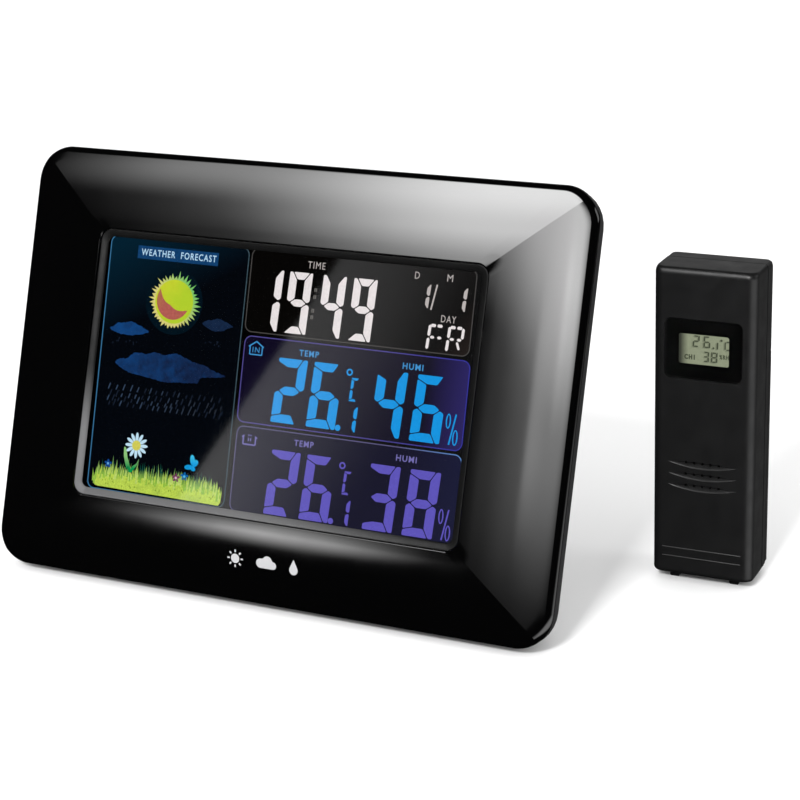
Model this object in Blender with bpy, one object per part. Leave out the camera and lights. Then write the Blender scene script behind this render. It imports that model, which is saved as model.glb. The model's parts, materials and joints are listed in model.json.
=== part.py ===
"""Home weather station: a reclined desk console with a colour display, and its wireless outdoor sensor.

Each part of the station is one named object. Lengths below are millimetres; MM turns them into metres.
Two local frames carry the parts, both with x to the right, y away from the viewer and z up:
  console  x = 0 on the middle, y = 0 on the parting plane of the two shells, z = 0 on the lower edge,
           leant back by RECLINE about that edge;
  sensor   x = 0 on the middle, y = 0 on the front face, z = 0 on the surface it stands on.
The whole station is then centred over the origin, with its feet on z = 0.
"""

import math

import bmesh
import bpy
from mathutils import Vector

MM = 0.001
GAP = 0.3                      # air between two fixed parts that meet

# Console, overall
WIDTH, HEIGHT = 200.0, 140.0
CORNER = 12.0
RECLINE = math.radians(19.7)
FOOT_THICK = 1.2
CORNER_STEPS = 8

# Front bezel: a low truncated pyramid with a rolled rim
ROLL = 2.2
WINDOW_WIDTH, WINDOW_HEIGHT = 139.0, 88.0
WINDOW_FRONT = -7.5            # y of the window's edge
BEZEL_WALL = 2.0
MOUTH_BACK = -2.8              # y of the bezel's collar round the display
MIDDLE = HEIGHT / 2

# Display stack, front to back: (low y, high y)
LENS = (-5.6, -4.6)
LCD_FRONT = (-4.3, -3.5)
LCD_REAR = (-3.2, -2.4)
FILTER = (-2.1, -1.8)
DIFFUSER = (-1.5, -0.7)
LIGHT_GUIDE = (-0.4, 2.6)
REFLECTOR = (2.9, 3.2)
HOLDER = (-2.4, 3.8)
BOARD = (6.0, 7.6)
STACK_HALF = 67.6              # half width of the glasses
LEDGE = 2.8                    # sloping grey ledge between bezel and lens
SHEET_Z = (27.9, 112.1)        # heights of the glasses' lower and upper edges
FILM_X, FILM_LOW = 66.8, 31.4  # half width and lower edge of the films behind the glasses
LIGHT_GUIDE_X = 62.8           # its half width; the strip of lamps stands beside it

# Rear housing
BACK = 21.5
HOUSING_WALL = 2.0
HOUSING_PROFILE = (            # (inset from the outline, y), rim to back
    (0.4, 0.3), (0.5, 4.5), (2.2, 9.0), (5.5, 14.5), (9.5, 18.5), (13.0, 20.7), (16.0, BACK),
)
BASE_START, BASE_END, BASE_HALF_WIDTH = 4.5, 16.5, 80.0
RECESS_X, RECESS_TOP, RECESS_FLOOR = 31.0, 68.0, 16.7      # hollow that the stand folds into
KEYHOLE_X, KEYHOLE_LOW, KEYHOLE_HIGH = 50.0, 102.0, 114.0  # two keyholes for screws in a wall
VENT_X, VENT_PITCH, VENT_WIDTH, VENT_Z = 38.0, 4.0, 1.6, (22.0, 32.0)
SLOT_X, SLOT_PITCH, SLOT_WIDTH, SLOT_Z = -50.0, 3.2, 1.4, (60.0, 70.0)
POST_RADIUS, BOSS_RADIUS = 3.2, 3.6

# Easel stand on the back
STAND_Y, STAND_Z = 19.0, 62.0
STAND_HALF_WIDTH = 29.4
STAND_TIP_HALF_WIDTH = 24.0
STAND_THICK = 3.0
STAND_BARREL = 2.1
STAND_LEAN = math.radians(17.0)
STAND_PAD = 1.2
PIN_RADIUS = 1.0

# Backup battery bay in the back, three AAA cells side by side
CELL_RADIUS, CELL_LENGTH = 5.25, 43.3
NUB_RADIUS, NUB_LENGTH = 1.9, 1.2
BAY_X, BAY_LOW, BAY_HIGH = 26.7, 78.8, 113.7
BAY_FLOOR = 6.2
CELL_PITCH = 11.65
DOOR_X, DOOR_LOW, DOOR_HIGH = 28.2, 77.3, 115.2
DOOR = (19.9, BACK)

# Keys
KEY_X = 72.0
KEY_HEIGHTS = (38.0, 50.0, 62.0, 74.0, 86.0)
KEY_NAMES = ("mode", "alarm", "up", "down", "channel")
KEY_SIZE = (8.0, 5.0)
KEY_PROUD = 0.8
SCREW_X, SCREW_LOW, SCREW_HIGH = 78.0, 22.0, 118.0
JACK_X, JACK_Z = -72.0, 40.0
SNOOZE_X, SNOOZE_Y, SNOOZE_Z = 22.0, (5.0, 11.0), (133.0, 139.5)

# Outdoor sensor
SENSOR_X, SENSOR_Y, SENSOR_YAW = 123.5, 70.6, math.radians(1.0)
SENSOR_WIDTH, SENSOR_HEIGHT, SENSOR_DEPTH = 33.0, 104.8, 19.4
SENSOR_BASE = 2.4              # the case stands this high on its two lugs
SENSOR_SPLIT = 12.6
SENSOR_WALL = 1.7
SENSOR_DOOR_FRONT = 16.2
SENSOR_DOOR_TOP = 75.4
SENSOR_EDGE = 3.0
SENSOR_BAY_X, SENSOR_BAY_LOW, SENSOR_BAY_HIGH = 12.2, 13.8, 66.2
SENSOR_CELL_X, SENSOR_CELL_Y = 5.6, 11.5
MASK_X, MASK_Z = (-12.6, 12.2), (69.3, 88.6)
PANE_X, PANE_Z = (-8.3, 7.9), (74.0, 83.8)
LUG_X, LUG_Y = 9.9, (4.0, 11.2)
CRESCENT_Z, CRESCENT_PITCH, CRESCENT_HALF = 41.2, 3.85, 11.2    # the top one's tips, and how they repeat
HOLE_PITCH = 2.7
GROOVE_X, GROOVE_HEIGHTS = 13.0, (11.8, 8.8)
SENSOR_SCREW_Z = 9.0
SENSOR_END_ROUNDS = (          # (inset, height) of the case's outline, from the bottom up
    (1.5, SENSOR_BASE), (0.6, SENSOR_BASE + 0.4), (0.0, SENSOR_BASE + 1.6),
    (0.0, SENSOR_HEIGHT - 2.0), (0.6, SENSOR_HEIGHT - 0.6), (1.8, SENSOR_HEIGHT),
)
KNOB_X, BUTTON_X, KNOB_Z = -7.0, 7.0, 71.2     # channel switch and transmit button, behind the door
KNOB_Y = 15.9

COLOURS = {                    # name: (colour, roughness, metallic)
    "gloss_black": ((0.012, 0.012, 0.013), 0.12, 0.0),
    "matt_black": ((0.022, 0.022, 0.024), 0.55, 0.0),
    "ledge_grey": ((0.11, 0.11, 0.115), 0.5, 0.0),
    "smoked_clear": ((0.06, 0.06, 0.07), 0.05, 0.0),
    "lcd_glass": ((0.03, 0.03, 0.05), 0.1, 0.0),
    "printed_film": ((0.12, 0.14, 0.5), 0.4, 0.0),
    "light_white": ((0.85, 0.86, 0.88), 0.35, 0.0),
    "natural_plastic": ((0.62, 0.62, 0.6), 0.5, 0.0),
    "board_green": ((0.02, 0.16, 0.07), 0.45, 0.0),
    "epoxy_black": ((0.02, 0.02, 0.02), 0.35, 0.0),
    "spring_steel": ((0.62, 0.62, 0.64), 0.3, 1.0),
    "copper": ((0.72, 0.36, 0.18), 0.3, 1.0),
    "rubber": ((0.03, 0.03, 0.03), 0.8, 0.0),
    "cell_jacket": ((0.1, 0.11, 0.14), 0.35, 0.0),
    "sensor_lcd": ((0.5, 0.52, 0.42), 0.3, 0.0),
}


# ---------------------------------------------------------------- tools

def clear_scene():
    for thing in list(bpy.data.objects):
        bpy.data.objects.remove(thing, do_unlink=True)


def material(name):
    found = bpy.data.materials.get(name)
    if found:
        return found
    colour, roughness, metallic = COLOURS[name]
    made = bpy.data.materials.new(name)
    made.use_nodes = True
    shader = made.node_tree.nodes["Principled BSDF"]
    shader.inputs["Base Color"].default_value = (*colour, 1.0)
    shader.inputs["Roughness"].default_value = roughness
    shader.inputs["Metallic"].default_value = metallic
    return made


def empty(name, parent=None, location=(0, 0, 0), rotation=(0, 0, 0)):
    made = bpy.data.objects.new(name, None)
    bpy.context.collection.objects.link(made)
    made.parent = parent
    made.location = Vector(location) * MM
    made.rotation_euler = rotation
    return made


def rounded_rectangle(half_width, half_height, radius, steps, ridge=(1.0, 1.0)):
    """Points round a rectangle with round corners, anticlockwise seen from the front.

    The middle point of each corner lies on the line that leaves the sharp corner along ridge.
    """
    if radius <= 0:
        return [(half_width, half_height), (-half_width, half_height),
                (-half_width, -half_height), (half_width, -half_height)]
    inward = Vector(ridge).normalized()
    lean = inward.x + inward.y
    reach = radius * (lean - math.sqrt(max(lean * lean - 1.0, 0.0)))
    middle = math.atan2(radius - reach * inward.y, radius - reach * inward.x)
    half = steps // 2
    first = [middle * k / half for k in range(half)]
    first += [middle + (math.pi / 2 - middle) * k / half for k in range(half + 1)]
    mirrored = [math.pi - angle for angle in reversed(first)]
    points = []
    for angles, turn in ((first, 0.0), (mirrored, 0.0), (first, math.pi), (mirrored, math.pi)):
        for angle in angles:
            cosine, sine = math.cos(angle + turn), math.sin(angle + turn)
            points.append((math.copysign(half_width - radius, cosine) + radius * cosine,
                           math.copysign(half_height - radius, sine) + radius * sine))
    return points


class Body:
    """A mesh of one or more closed shapes, drawn in millimetres."""

    def __init__(self):
        self.mesh = bmesh.new()

    def skin(self, loops, ring=False):
        """Walls between loops of equal length. A ring joins its last loop to its first; else both ends close."""
        rows = [[self.mesh.verts.new(Vector(point) * MM) for point in loop] for loop in loops]
        pairs = list(zip(rows, rows[1:]))
        if ring:
            pairs.append((rows[-1], rows[0]))
        count = len(rows[0])
        for near, far in pairs:
            for k in range(count):
                after = (k + 1) % count
                self.mesh.faces.new((near[k], near[after], far[after], far[k]))
        if not ring:
            self.mesh.faces.new(list(reversed(rows[0])))
            self.mesh.faces.new(rows[-1])
        return self

    def box(self, x, y, z):
        """A box between three (low, high) pairs."""
        flat = ((x[0], z[0]), (x[1], z[0]), (x[1], z[1]), (x[0], z[1]))
        return self.skin([[(a, height, b) for a, b in flat] for height in y])

    def slab(self, x, y, z, radius, steps=4):
        """A box whose four edges along y are round."""
        outline = rounded_rectangle((x[1] - x[0]) / 2, (z[1] - z[0]) / 2, radius, steps)
        middle_x, middle_z = (x[0] + x[1]) / 2, (z[0] + z[1]) / 2
        return self.skin([[(middle_x + a, depth, middle_z + b) for a, b in outline] for depth in y])

    def turned(self, centre, axis, profile, sides=16):
        """A shape turned about an axis through centre: profile is (distance along the axis, radius)."""
        turn = Vector((0, 0, 1)).rotation_difference(Vector(axis)).to_matrix()
        loops = []
        for along, radius in profile:
            angles = [2 * math.pi * k / sides for k in range(sides)]
            ring = [Vector((radius * math.cos(a), radius * math.sin(a), along)) for a in angles]
            loops.append([Vector(centre) + turn @ point for point in ring])
        return self.skin(loops)

    def rod(self, centre, axis, low, high, radius, sides=16):
        return self.turned(centre, axis, ((low, radius), (high, radius)), sides)

    def drawn(self, outline, x):
        """An outline in (y, z), drawn along x."""
        return self.skin([[(side, a, b) for a, b in outline] for side in x])


def finish_mesh(name, body, origin):
    """The body as a mesh with its faces outward and its origin at a point in the same frame."""
    bmesh.ops.translate(body.mesh, verts=body.mesh.verts, vec=-Vector(origin) * MM)
    bmesh.ops.recalc_face_normals(body.mesh, faces=body.mesh.faces)
    mesh = bpy.data.meshes.new(name)
    body.mesh.to_mesh(mesh)
    body.mesh.free()
    return mesh


def node(name, body, finish, parent, origin=(0, 0, 0), smooth=30):
    """One part of the station, with its origin at a point of its parent's frame."""
    mesh = finish_mesh(name, body, origin)
    mesh.materials.append(material(finish))
    mesh.shade_smooth()
    mesh.set_sharp_from_angle(angle=math.radians(smooth))
    made = bpy.data.objects.new(name, mesh)
    bpy.context.collection.objects.link(made)
    made.parent = parent
    made.location = Vector(origin) * MM
    return made


def shaped(target, body, operation):
    """Adds a body to a part, or cuts it out of it."""
    guide_name = f"{target.name}_{operation.lower()}_{len(target.modifiers)}"
    guide = bpy.data.objects.new(guide_name, finish_mesh(guide_name, body, (0, 0, 0)))
    bpy.context.collection.objects.link(guide)
    guide.parent = target.parent
    guide.hide_render = True
    guide.display_type = "WIRE"
    modifier = target.modifiers.new(guide_name, "BOOLEAN")
    modifier.operation = operation
    modifier.solver = "EXACT"
    modifier.use_self = True
    modifier.object = guide
    return target


def cut(target, body):
    return shaped(target, body, "DIFFERENCE")


def join(target, body):
    return shaped(target, body, "UNION")


# ---------------------------------------------------------------- console shells

def outline_loop(inset_x, inset_z, radius, depth, steps=CORNER_STEPS, ridge=(1.0, 1.0)):
    """The console's outline, drawn in by an inset, at a depth that may depend on the place."""
    points = rounded_rectangle(WIDTH / 2 - inset_x, HEIGHT / 2 - inset_z, radius, steps, ridge)
    height_at = depth if callable(depth) else lambda x, z: depth
    return [(x, height_at(x, z), MIDDLE + z) for x, z in points]


def front_bezel(console):
    side = (WIDTH - WINDOW_WIDTH) / 2 - ROLL
    end = (HEIGHT - WINDOW_HEIGHT) / 2 - ROLL
    rise = -WINDOW_FRONT - ROLL

    def level(x, z):
        """0 on the rim's inner edge, 1 on the window's edge."""
        from_side = (WIDTH / 2 - ROLL - abs(x)) / side
        from_end = (HEIGHT / 2 - ROLL - abs(z)) / end
        return max(min(from_side, from_end, 1.0), 0.0)

    def facet(x, z):
        at = level(x, z)
        return -(ROLL + rise * (at + 0.35 * at * (1 - at)))

    def facet_loop(share, radius):
        return outline_loop(ROLL + share * side, ROLL + share * end, radius, facet, ridge=(side, end))

    def rolled(angle):
        """A loop on the quarter-round rim; it climbs to meet the facets over each corner."""
        top = facet_loop(0.0, CORNER - ROLL)
        inset = ROLL * (1 - math.cos(angle))
        points = outline_loop(inset, inset, CORNER - inset, 0.0, ridge=(side, end))
        return [(x, peak[1] * math.sin(angle), z) for (x, _, z), peak in zip(points, top)]

    window = (side + ROLL, end + ROLL)
    wall = BEZEL_WALL
    loops = [rolled(math.radians(a)) for a in (0, 25, 50, 70)]
    for share, radius in ((0.0, CORNER - ROLL), (0.35, 7.5), (0.7, 5.0), (1.0, 3.0)):
        loops.append(facet_loop(share, radius))

    def mouth(inset, radius, depth):
        """A loop round the window, an inset inside its edge."""
        return outline_loop(window[0] + inset, window[1] + inset, radius, depth, ridge=(side, end))

    def inner(inset, depth):
        return outline_loop(inset, inset, CORNER - inset, depth, ridge=(side, end))

    loops += [mouth(0.3, 2.7, WINDOW_FRONT + 0.3), mouth(0.3, 2.7, MOUTH_BACK), mouth(-1.5, 4.0, MOUTH_BACK),
              mouth(-1.5, 4.0, WINDOW_FRONT + wall + 0.4), inner(4.6, -0.8), inner(wall, 0.0)]
    bezel = node("front_bezel", Body().skin(loops, ring=True), "gloss_black", console)
    posts = Body()
    for x, z in screw_places():
        posts.rod((x, 0, z), (0, 1, 0), -4.9, 6.0, POST_RADIUS, 12)
    join(bezel, posts)
    holes = Body()
    for x, z in screw_places():
        holes.rod((x, 0, z), (0, 1, 0), 0.5, 8.0, 1.25, 12)
    return cut(bezel, holes)


def screw_places():
    return [(x, z) for x in (-SCREW_X, SCREW_X) for z in (SCREW_LOW, SCREW_HIGH)]


def window_frame(console):
    """The matt ring inside the window: a sloping ledge, and under it a pocket that holds the lens."""
    half_x, half_z = WINDOW_WIDTH / 2, WINDOW_HEIGHT / 2
    profile = ((0.6, -7.0), (LEDGE, -6.2), (LEDGE, -5.9), (1.6, -5.9), (1.6, -3.2), (0.6, -3.2))
    loops = []
    for inset, depth in profile:
        points = rounded_rectangle(half_x - inset, half_z - inset, max(2.6 - inset * 0.6, 1.0), 4)
        loops.append([(x, depth, MIDDLE + z) for x, z in points])
    node("window_frame", Body().skin(loops, ring=True), "ledge_grey", console)


def rear_housing(console):
    def loop(inset, depth):
        return outline_loop(inset, inset, max(CORNER - inset * 0.5, 3.0), depth)

    outer = [loop(inset, depth) for inset, depth in HOUSING_PROFILE]
    inner = []
    for inset, depth in HOUSING_PROFILE[:-1]:
        inner.append(loop(inset + HOUSING_WALL, min(depth, BACK - HOUSING_WALL - 0.6)))
    inner.append(loop(HOUSING_PROFILE[-1][0] + HOUSING_WALL - 0.4, BACK - HOUSING_WALL))
    shell = Body().skin(list(reversed(outer)) + inner)
    housing = node("rear_housing", shell, "matt_black", console)

    rise = math.tan(RECLINE)
    base = [(BASE_START, 0.5), (BASE_END, 0.5 + (BASE_END - BASE_START) * rise),
            (BASE_END, 8.5), (14.5, 6.4), (9.0, 3.1), (BASE_START, 1.5)]
    added = Body()
    # the walls of the stand's recess, the walls of the battery bay, and the ledge it stands on
    added.box((-RECESS_X - 4, RECESS_X + 4), (RECESS_FLOOR - 1.9, 20.4), (9.5, RECESS_TOP + 1.5))
    added.box((-BAY_X - 4, BAY_X + 4), (BAY_FLOOR - 1.3, 20.5), (BAY_LOW - 4.4, BAY_HIGH + 4.4))
    added.drawn(base, (-BASE_HALF_WIDTH, BASE_HALF_WIDTH))
    join(housing, added)
    bosses = Body()
    for x, z in screw_places():
        bosses.rod((x, 0, z), (0, 1, 0), 6.4, 20.4, BOSS_RADIUS, 12)
    join(housing, bosses)

    out = BACK + 2                 # past the back face
    removed = Body()
    removed.box((-RECESS_X, RECESS_X), (RECESS_FLOOR, BACK + 9), (-6.0, RECESS_TOP))
    removed.box((-BAY_X, BAY_X), (BAY_FLOOR, BACK + 9), (BAY_LOW, BAY_HIGH))
    for x, z in screw_places():
        removed.turned((x, 0, z), (0, 1, 0), ((4.0, 1.4), (17.0, 1.4), (17.0, 3.0), (out, 3.0)), 12)
    for z in KEY_HEIGHTS:
        half_x, half_z = KEY_SIZE[0] / 2 + 0.35, KEY_SIZE[1] / 2 + 0.35
        removed.slab((KEY_X - half_x, KEY_X + half_x), (18.0, out), (z - half_z, z + half_z), 1.3)
    removed.rod((JACK_X, 0, JACK_Z), (0, 1, 0), 18.0, out, 4.0, 20)
    for x in (-KEYHOLE_X, KEYHOLE_X):
        removed.slab((x - 2.0, x + 2.0), (18.0, out), (KEYHOLE_LOW, KEYHOLE_HIGH), 1.9, 6)
        removed.rod((x, 0, KEYHOLE_LOW), (0, 1, 0), 18.1, out + 0.1, 4.0, 16)
    for k in range(6):             # vents over the room sensor
        x = VENT_X + VENT_PITCH * k
        removed.slab((x, x + VENT_WIDTH), (17.0, out), VENT_Z, 0.75)
    for k in range(5):             # slots over the buzzer
        x = SLOT_X + SLOT_PITCH * k
        removed.slab((x, x + SLOT_WIDTH), (17.0, out), SLOT_Z, 0.65)
    low, high = SNOOZE_Y
    removed.box((-SNOOZE_X - 0.4, SNOOZE_X + 0.4), (low - 0.4, high + 0.4), (130.0, HEIGHT + 4))
    cut(housing, removed)
    steps = Body()
    steps.box((-DOOR_X - 0.5, DOOR_X + 0.5), (DOOR[0] - 0.3, BACK + 8), (DOOR_LOW - 0.5, DOOR_HIGH + 0.5))
    steps.rod((0, STAND_Y, STAND_Z), (1, 0, 0), -33.5, 33.5, PIN_RADIUS + 0.15, 12)
    steps.rod((0, DOOR[0] + 0.8, DOOR_LOW + 0.8), (1, 0, 0), -DOOR_X - 1.4, DOOR_X + 1.4, 0.75, 10)
    steps.slab((-7.0, 7.0), (19.0, BACK + 8), (DOOR_HIGH, DOOR_HIGH + 3.6), 2.0)    # for a finger
    return cut(housing, steps)


# ---------------------------------------------------------------- display

def sheet(name, finish, console, depth, half_x=STACK_HALF, low=SHEET_Z[0]):
    node(name, Body().slab((-half_x, half_x), depth, (low, SHEET_Z[1]), 0.8, 2), finish, console)


def display(console):
    window_frame(console)
    sheet("window_lens", "smoked_clear", console, LENS)
    sheet("lcd_front_glass", "lcd_glass", console, LCD_FRONT)
    sheet("lcd_rear_glass", "lcd_glass", console, LCD_REAR)
    sheet("colour_filter_film", "printed_film", console, FILTER, FILM_X, FILM_LOW)
    sheet("diffuser_sheet", "light_white", console, DIFFUSER, FILM_X, FILM_LOW)
    sheet("light_guide", "light_white", console, LIGHT_GUIDE, LIGHT_GUIDE_X, FILM_LOW)
    sheet("reflector_sheet", "light_white", console, REFLECTOR, FILM_X, FILM_LOW)

    strip = Body().box((LIGHT_GUIDE_X + GAP, LIGHT_GUIDE_X + 1.7), LIGHT_GUIDE, (34.0, 109.5))
    strip = node("backlight_led_strip", strip, "light_white", console)
    leds = Body()
    for k in range(5):
        leds.box((64.3, 66.0), (LIGHT_GUIDE[0] + 0.5, LIGHT_GUIDE[1] - 0.5), (38.0 + 16 * k, 41.5 + 16 * k))
    join(strip, leds)

    plate = Body().slab((-74.5, 74.5), HOLDER, (21.5, 118.5), 3.0)
    holder = node("lcd_holder", plate, "natural_plastic", console)
    opening = Body().slab((-68.0, 68.0), (HOLDER[0] - 2, HOLDER[1] + 2), (27.5, 112.6), 0.8, 2)
    cut(holder, opening)
    bar = Body().box((-60.0, 60.0), (-2.1, BOARD[0] - GAP), (28.2, 30.4))
    node("elastomer_connector", bar, "rubber", console)


# ---------------------------------------------------------------- electronics

def main_board(console):
    plate = Body().slab((-82.0, 62.0), BOARD, (27.0, 72.0), 1.5, 2)
    board = node("main_board", plate, "board_green", console)
    holes = Body()
    for x in (-56.0, 56.0):
        holes.rod((x, 0, 66.0), (0, 1, 0), BOARD[0] - 2, BOARD[1] + 2, 1.6, 12)
    cut(board, holes)


def on_board(console):
    """What stands on the back of the main board."""
    top = BOARD[1] + GAP
    dome = ((0.0, 7.0), (0.8, 6.4), (1.5, 4.6), (1.9, 2.2))
    node("processor", Body().turned((-8.0, top, 50.0), (0, 1, 0), dome, 20), "epoxy_black", console)
    radio = Body().box((20.0, 40.0), (top, top + 1.0), (44.0, 58.0))
    radio = node("radio_receiver", radio, "board_green", console)
    can = Body().slab((22.0, 34.0), (top + 0.8, top + 3.2), (46.0, 56.0), 0.6, 2)
    join(radio, can)
    ridges = []
    for k in range(9):
        ridges += [(1.2 * k, 2.0), (1.2 * k + 0.6, 2.5)]
    node("antenna_coil", Body().turned((45.0, top + 2.6, 45.0), (0, 0, 1), ridges, 12), "copper", console)
    can = ((0.0, 3.0), (0.9, 3.0), (0.9, 2.4), (2.4, 2.4), (2.4, 0.7), (1.6, 0.7))
    node("pressure_sensor", Body().turned((8.0, top, 34.0), (0, 1, 0), can, 16), "spring_steel", console)
    climate = node("room_sensor", Body().slab((44.0, 54.0), (top, top + 4.5), (28.0, 34.0), 0.8, 2),
                   "light_white", console)
    grille = Body()
    for k in range(4):
        grille.box((45.4 + 2.2 * k, 46.4 + 2.2 * k), (top + 3.0, top + 6), (29.2, 32.8))
    cut(climate, grille)
    drum = ((0.0, 7.0), (4.2, 7.0), (4.2, 1.4), (2.4, 1.4))
    node("buzzer", Body().turned((-43.0, top, 62.0), (0, 1, 0), drum, 20), "epoxy_black", console)
    jack = Body().slab((JACK_X - 4.5, JACK_X + 4.5), (top, 19.2), (JACK_Z - 5.5, JACK_Z + 5.5), 0.8, 2)
    jack = node("dc_jack", jack, "epoxy_black", console)
    socket = Body().turned((JACK_X, 0, JACK_Z), (0, 1, 0), ((10.5, 2.8), (22.0, 2.8)), 16)
    cut(jack, socket)
    join(jack, Body().rod((JACK_X, 0, JACK_Z), (0, 1, 0), 9.5, 18.4, 0.7, 8))


def key_board(console):
    """The small board behind the rear keys, with a press switch soldered on for each key."""
    plate = Body().slab((66.5, 79.0), (9.4, 10.6), (30.0, 94.0), 1.0, 2)
    board = node("key_board", plate, "board_green", console)
    switches, plungers = Body(), Body()
    for z in KEY_HEIGHTS:
        switches.box((KEY_X - 3, KEY_X + 3), (10.4, 14.4), (z - 3, z + 3))
        plungers.rod((KEY_X, 0, z), (0, 1, 0), 14.2, 15.4, 1.6, 10)
    join(board, switches)
    join(board, plungers)


def keys(console):
    """The rear keys and the snooze key: a cap with a flange that keeps it in the housing."""
    half_x, half_z = KEY_SIZE[0] / 2, KEY_SIZE[1] / 2
    for name, z in zip(KEY_NAMES, KEY_HEIGHTS):
        cap = Body().skin([
            [(KEY_X + a, depth, z + b) for a, b in rounded_rectangle(half_x - inset, half_z - inset, 1.1, 4)]
            for depth, inset in ((17.4, 0.0), (BACK + KEY_PROUD - 0.4, 0.0), (BACK + KEY_PROUD, 0.4))
        ])
        cap = node(f"{name}_key", cap, "rubber", console, origin=(KEY_X, BACK, z))
        flange = Body().box((KEY_X - 5.2, KEY_X + 5.2), (16.9, 17.9), (z - 3.6, z + 3.6))
        join(cap, flange)

    middle = sum(SNOOZE_Y) / 2
    snooze = Body().box((-SNOOZE_X, SNOOZE_X), SNOOZE_Y, SNOOZE_Z)
    snooze = node("snooze_key", snooze, "matt_black", console, origin=(0, middle, SNOOZE_Z[1]))
    join(snooze, Body().box((-24.0, 24.0), (4.2, 11.8), (132.2, 133.6)))
    bevel = snooze.modifiers.new("soft_edges", "BEVEL")
    bevel.width = 0.5 * MM
    bevel.segments = 2
    bevel.limit_method = "ANGLE"
    plate = Body().box((-12.0, 12.0), (4.4, 11.6), (124.4, 125.7))
    board = node("snooze_board", plate, "board_green", console)
    join(board, Body().box((-3.0, 3.0), (5.0, 11.0), (125.4, 129.6)))
    join(board, Body().rod((0, middle, 0), (0, 0, 1), 129.4, 130.8, 1.6, 10))


# ---------------------------------------------------------------- power

def cell(name, parent, middle, axis):
    """An AAA cell along an axis: flat end, jacket, shoulder and contact nub."""
    half = CELL_LENGTH / 2
    profile = ((-half, 4.6), (-half + 0.4, CELL_RADIUS), (half - 1.0, CELL_RADIUS), (half - 0.2, 4.4),
               (half, 4.2), (half, NUB_RADIUS), (half + NUB_LENGTH, NUB_RADIUS - 0.2))
    node(name, Body().turned(middle, axis, profile, 20), "cell_jacket", parent)


def spring_profile(length, turns):
    """A tapering coil, closed up into ridges: wide on its plate, narrow at its tip."""
    profile = []
    for k in range(turns * 2 + 1):
        share = k / (turns * 2)
        profile.append((share * length, 3.4 - 1.3 * share - (0.5 if k % 2 else 0.0)))
    return profile


def console_power(console):
    middle_z = (BAY_LOW + BAY_HIGH) / 2
    rows = (middle_z - CELL_PITCH, middle_z, middle_z + CELL_PITCH)
    depth = BAY_FLOOR + GAP + CELL_RADIUS
    for k, z in enumerate(rows):
        way = 1 if k % 2 == 0 else -1
        cell(f"backup_cell_{k + 1}", console, (1.3 * way, depth, z), (way, 0, 0))
    for name, side in (("battery_contact_left", -1), ("battery_contact_right", 1)):
        wall = side * (BAY_X - GAP)
        x = sorted((wall, wall - side * 0.5))
        strip = Body().box(x, (BAY_FLOOR + 0.9, 16.4), (rows[0] - 4.6, rows[-1] + 4.6))
        strip = node(name, strip, "spring_steel", console)
        springs = Body()
        for k, z in enumerate(rows):
            way = 1 if k % 2 == 0 else -1
            if way == -side:
                springs.turned((wall - side * 0.3, depth, z), (-side, 0, 0), spring_profile(4.6, 4), 12)
        join(strip, springs)

    cover = Body().slab((-DOOR_X, DOOR_X), DOOR, (DOOR_LOW + 0.8, DOOR_HIGH), 1.0, 2)
    pivot = (0, DOOR[0] + 0.8, DOOR_LOW + 0.8)
    door = node("battery_door", cover, "matt_black", console, origin=pivot)
    edge = Body().rod(pivot, (1, 0, 0), -DOOR_X, DOOR_X, 0.79, 12)
    join(door, edge)
    join(door, Body().rod(pivot, (1, 0, 0), -DOOR_X - 1.1, DOOR_X + 1.1, 0.55, 10))
    latch = Body().box((-5.0, 5.0), (DOOR[0] - 2.6, DOOR[0] + 0.5), (DOOR_HIGH - 3.0, DOOR_HIGH - 1.8))
    join(door, latch)
    grips = Body()
    for k in range(4):
        grips.box((-6.0, 6.0), (BACK - 0.4, BACK + 1), (DOOR_HIGH - 5.2 - 1.6 * k, DOOR_HIGH - 4.4 - 1.6 * k))
    cut(door, grips)


# ---------------------------------------------------------------- what it stands on

def stand(console):
    """The easel leg: a plate on a steel pin, cut level at its tip, with a rubber pad under it."""
    lift = console_lift()
    axis_height = lift - STAND_Y * math.sin(RECLINE) + STAND_Z * math.cos(RECLINE)
    middle_reach = (axis_height - STAND_PAD - GAP) / math.cos(STAND_LEAN)
    hinge = empty("stand_axis", console, (0, STAND_Y, STAND_Z), (RECLINE + STAND_LEAN, 0, 0))
    level = -math.tan(STAND_LEAN)
    half = STAND_THICK / 2

    def tip(y):
        """Height of the level cut across the leg's thickness, in the leg's own frame."""
        return -middle_reach + y * level

    def across(z):
        share = -z / middle_reach
        return STAND_HALF_WIDTH + (STAND_TIP_HALF_WIDTH - STAND_HALF_WIDTH) * share

    loops = []
    for place in (0.0, -14.0, -30.0, None):
        loop = []
        for x_way, y in ((-1, -half), (1, -half), (1, half), (-1, half)):
            z = tip(y) if place is None else place
            loop.append((x_way * across(z), y, z))
        loops.append(loop)
    leg = node("stand_leg", Body().skin(loops), "matt_black", hinge)
    join(leg, Body().rod((0, 0, 0), (1, 0, 0), -STAND_HALF_WIDTH, STAND_HALF_WIDTH, STAND_BARREL, 16))
    past = STAND_HALF_WIDTH + 2
    cut(leg, Body().rod((0, 0, 0), (1, 0, 0), -past, past, PIN_RADIUS + 0.15, 12))
    window = Body().slab((-13.0, 13.0), (-4, 4), (-middle_reach + 12.0, -14.0), 4.0)
    cut(leg, window)

    pad = []
    for depth in (GAP, GAP + STAND_PAD):
        drop = depth / math.cos(STAND_LEAN)
        pad.append([(x_way * (STAND_TIP_HALF_WIDTH - 2), y, tip(y) - drop)
                    for x_way, y in ((-1, -half), (1, -half), (1, half), (-1, half))])
    node("stand_foot_pad", Body().skin(pad), "rubber", hinge)
    pin = Body().rod((0, STAND_Y, STAND_Z), (1, 0, 0), -32.6, 32.6, PIN_RADIUS, 12)
    node("stand_hinge_pin", pin, "spring_steel", console)


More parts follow.
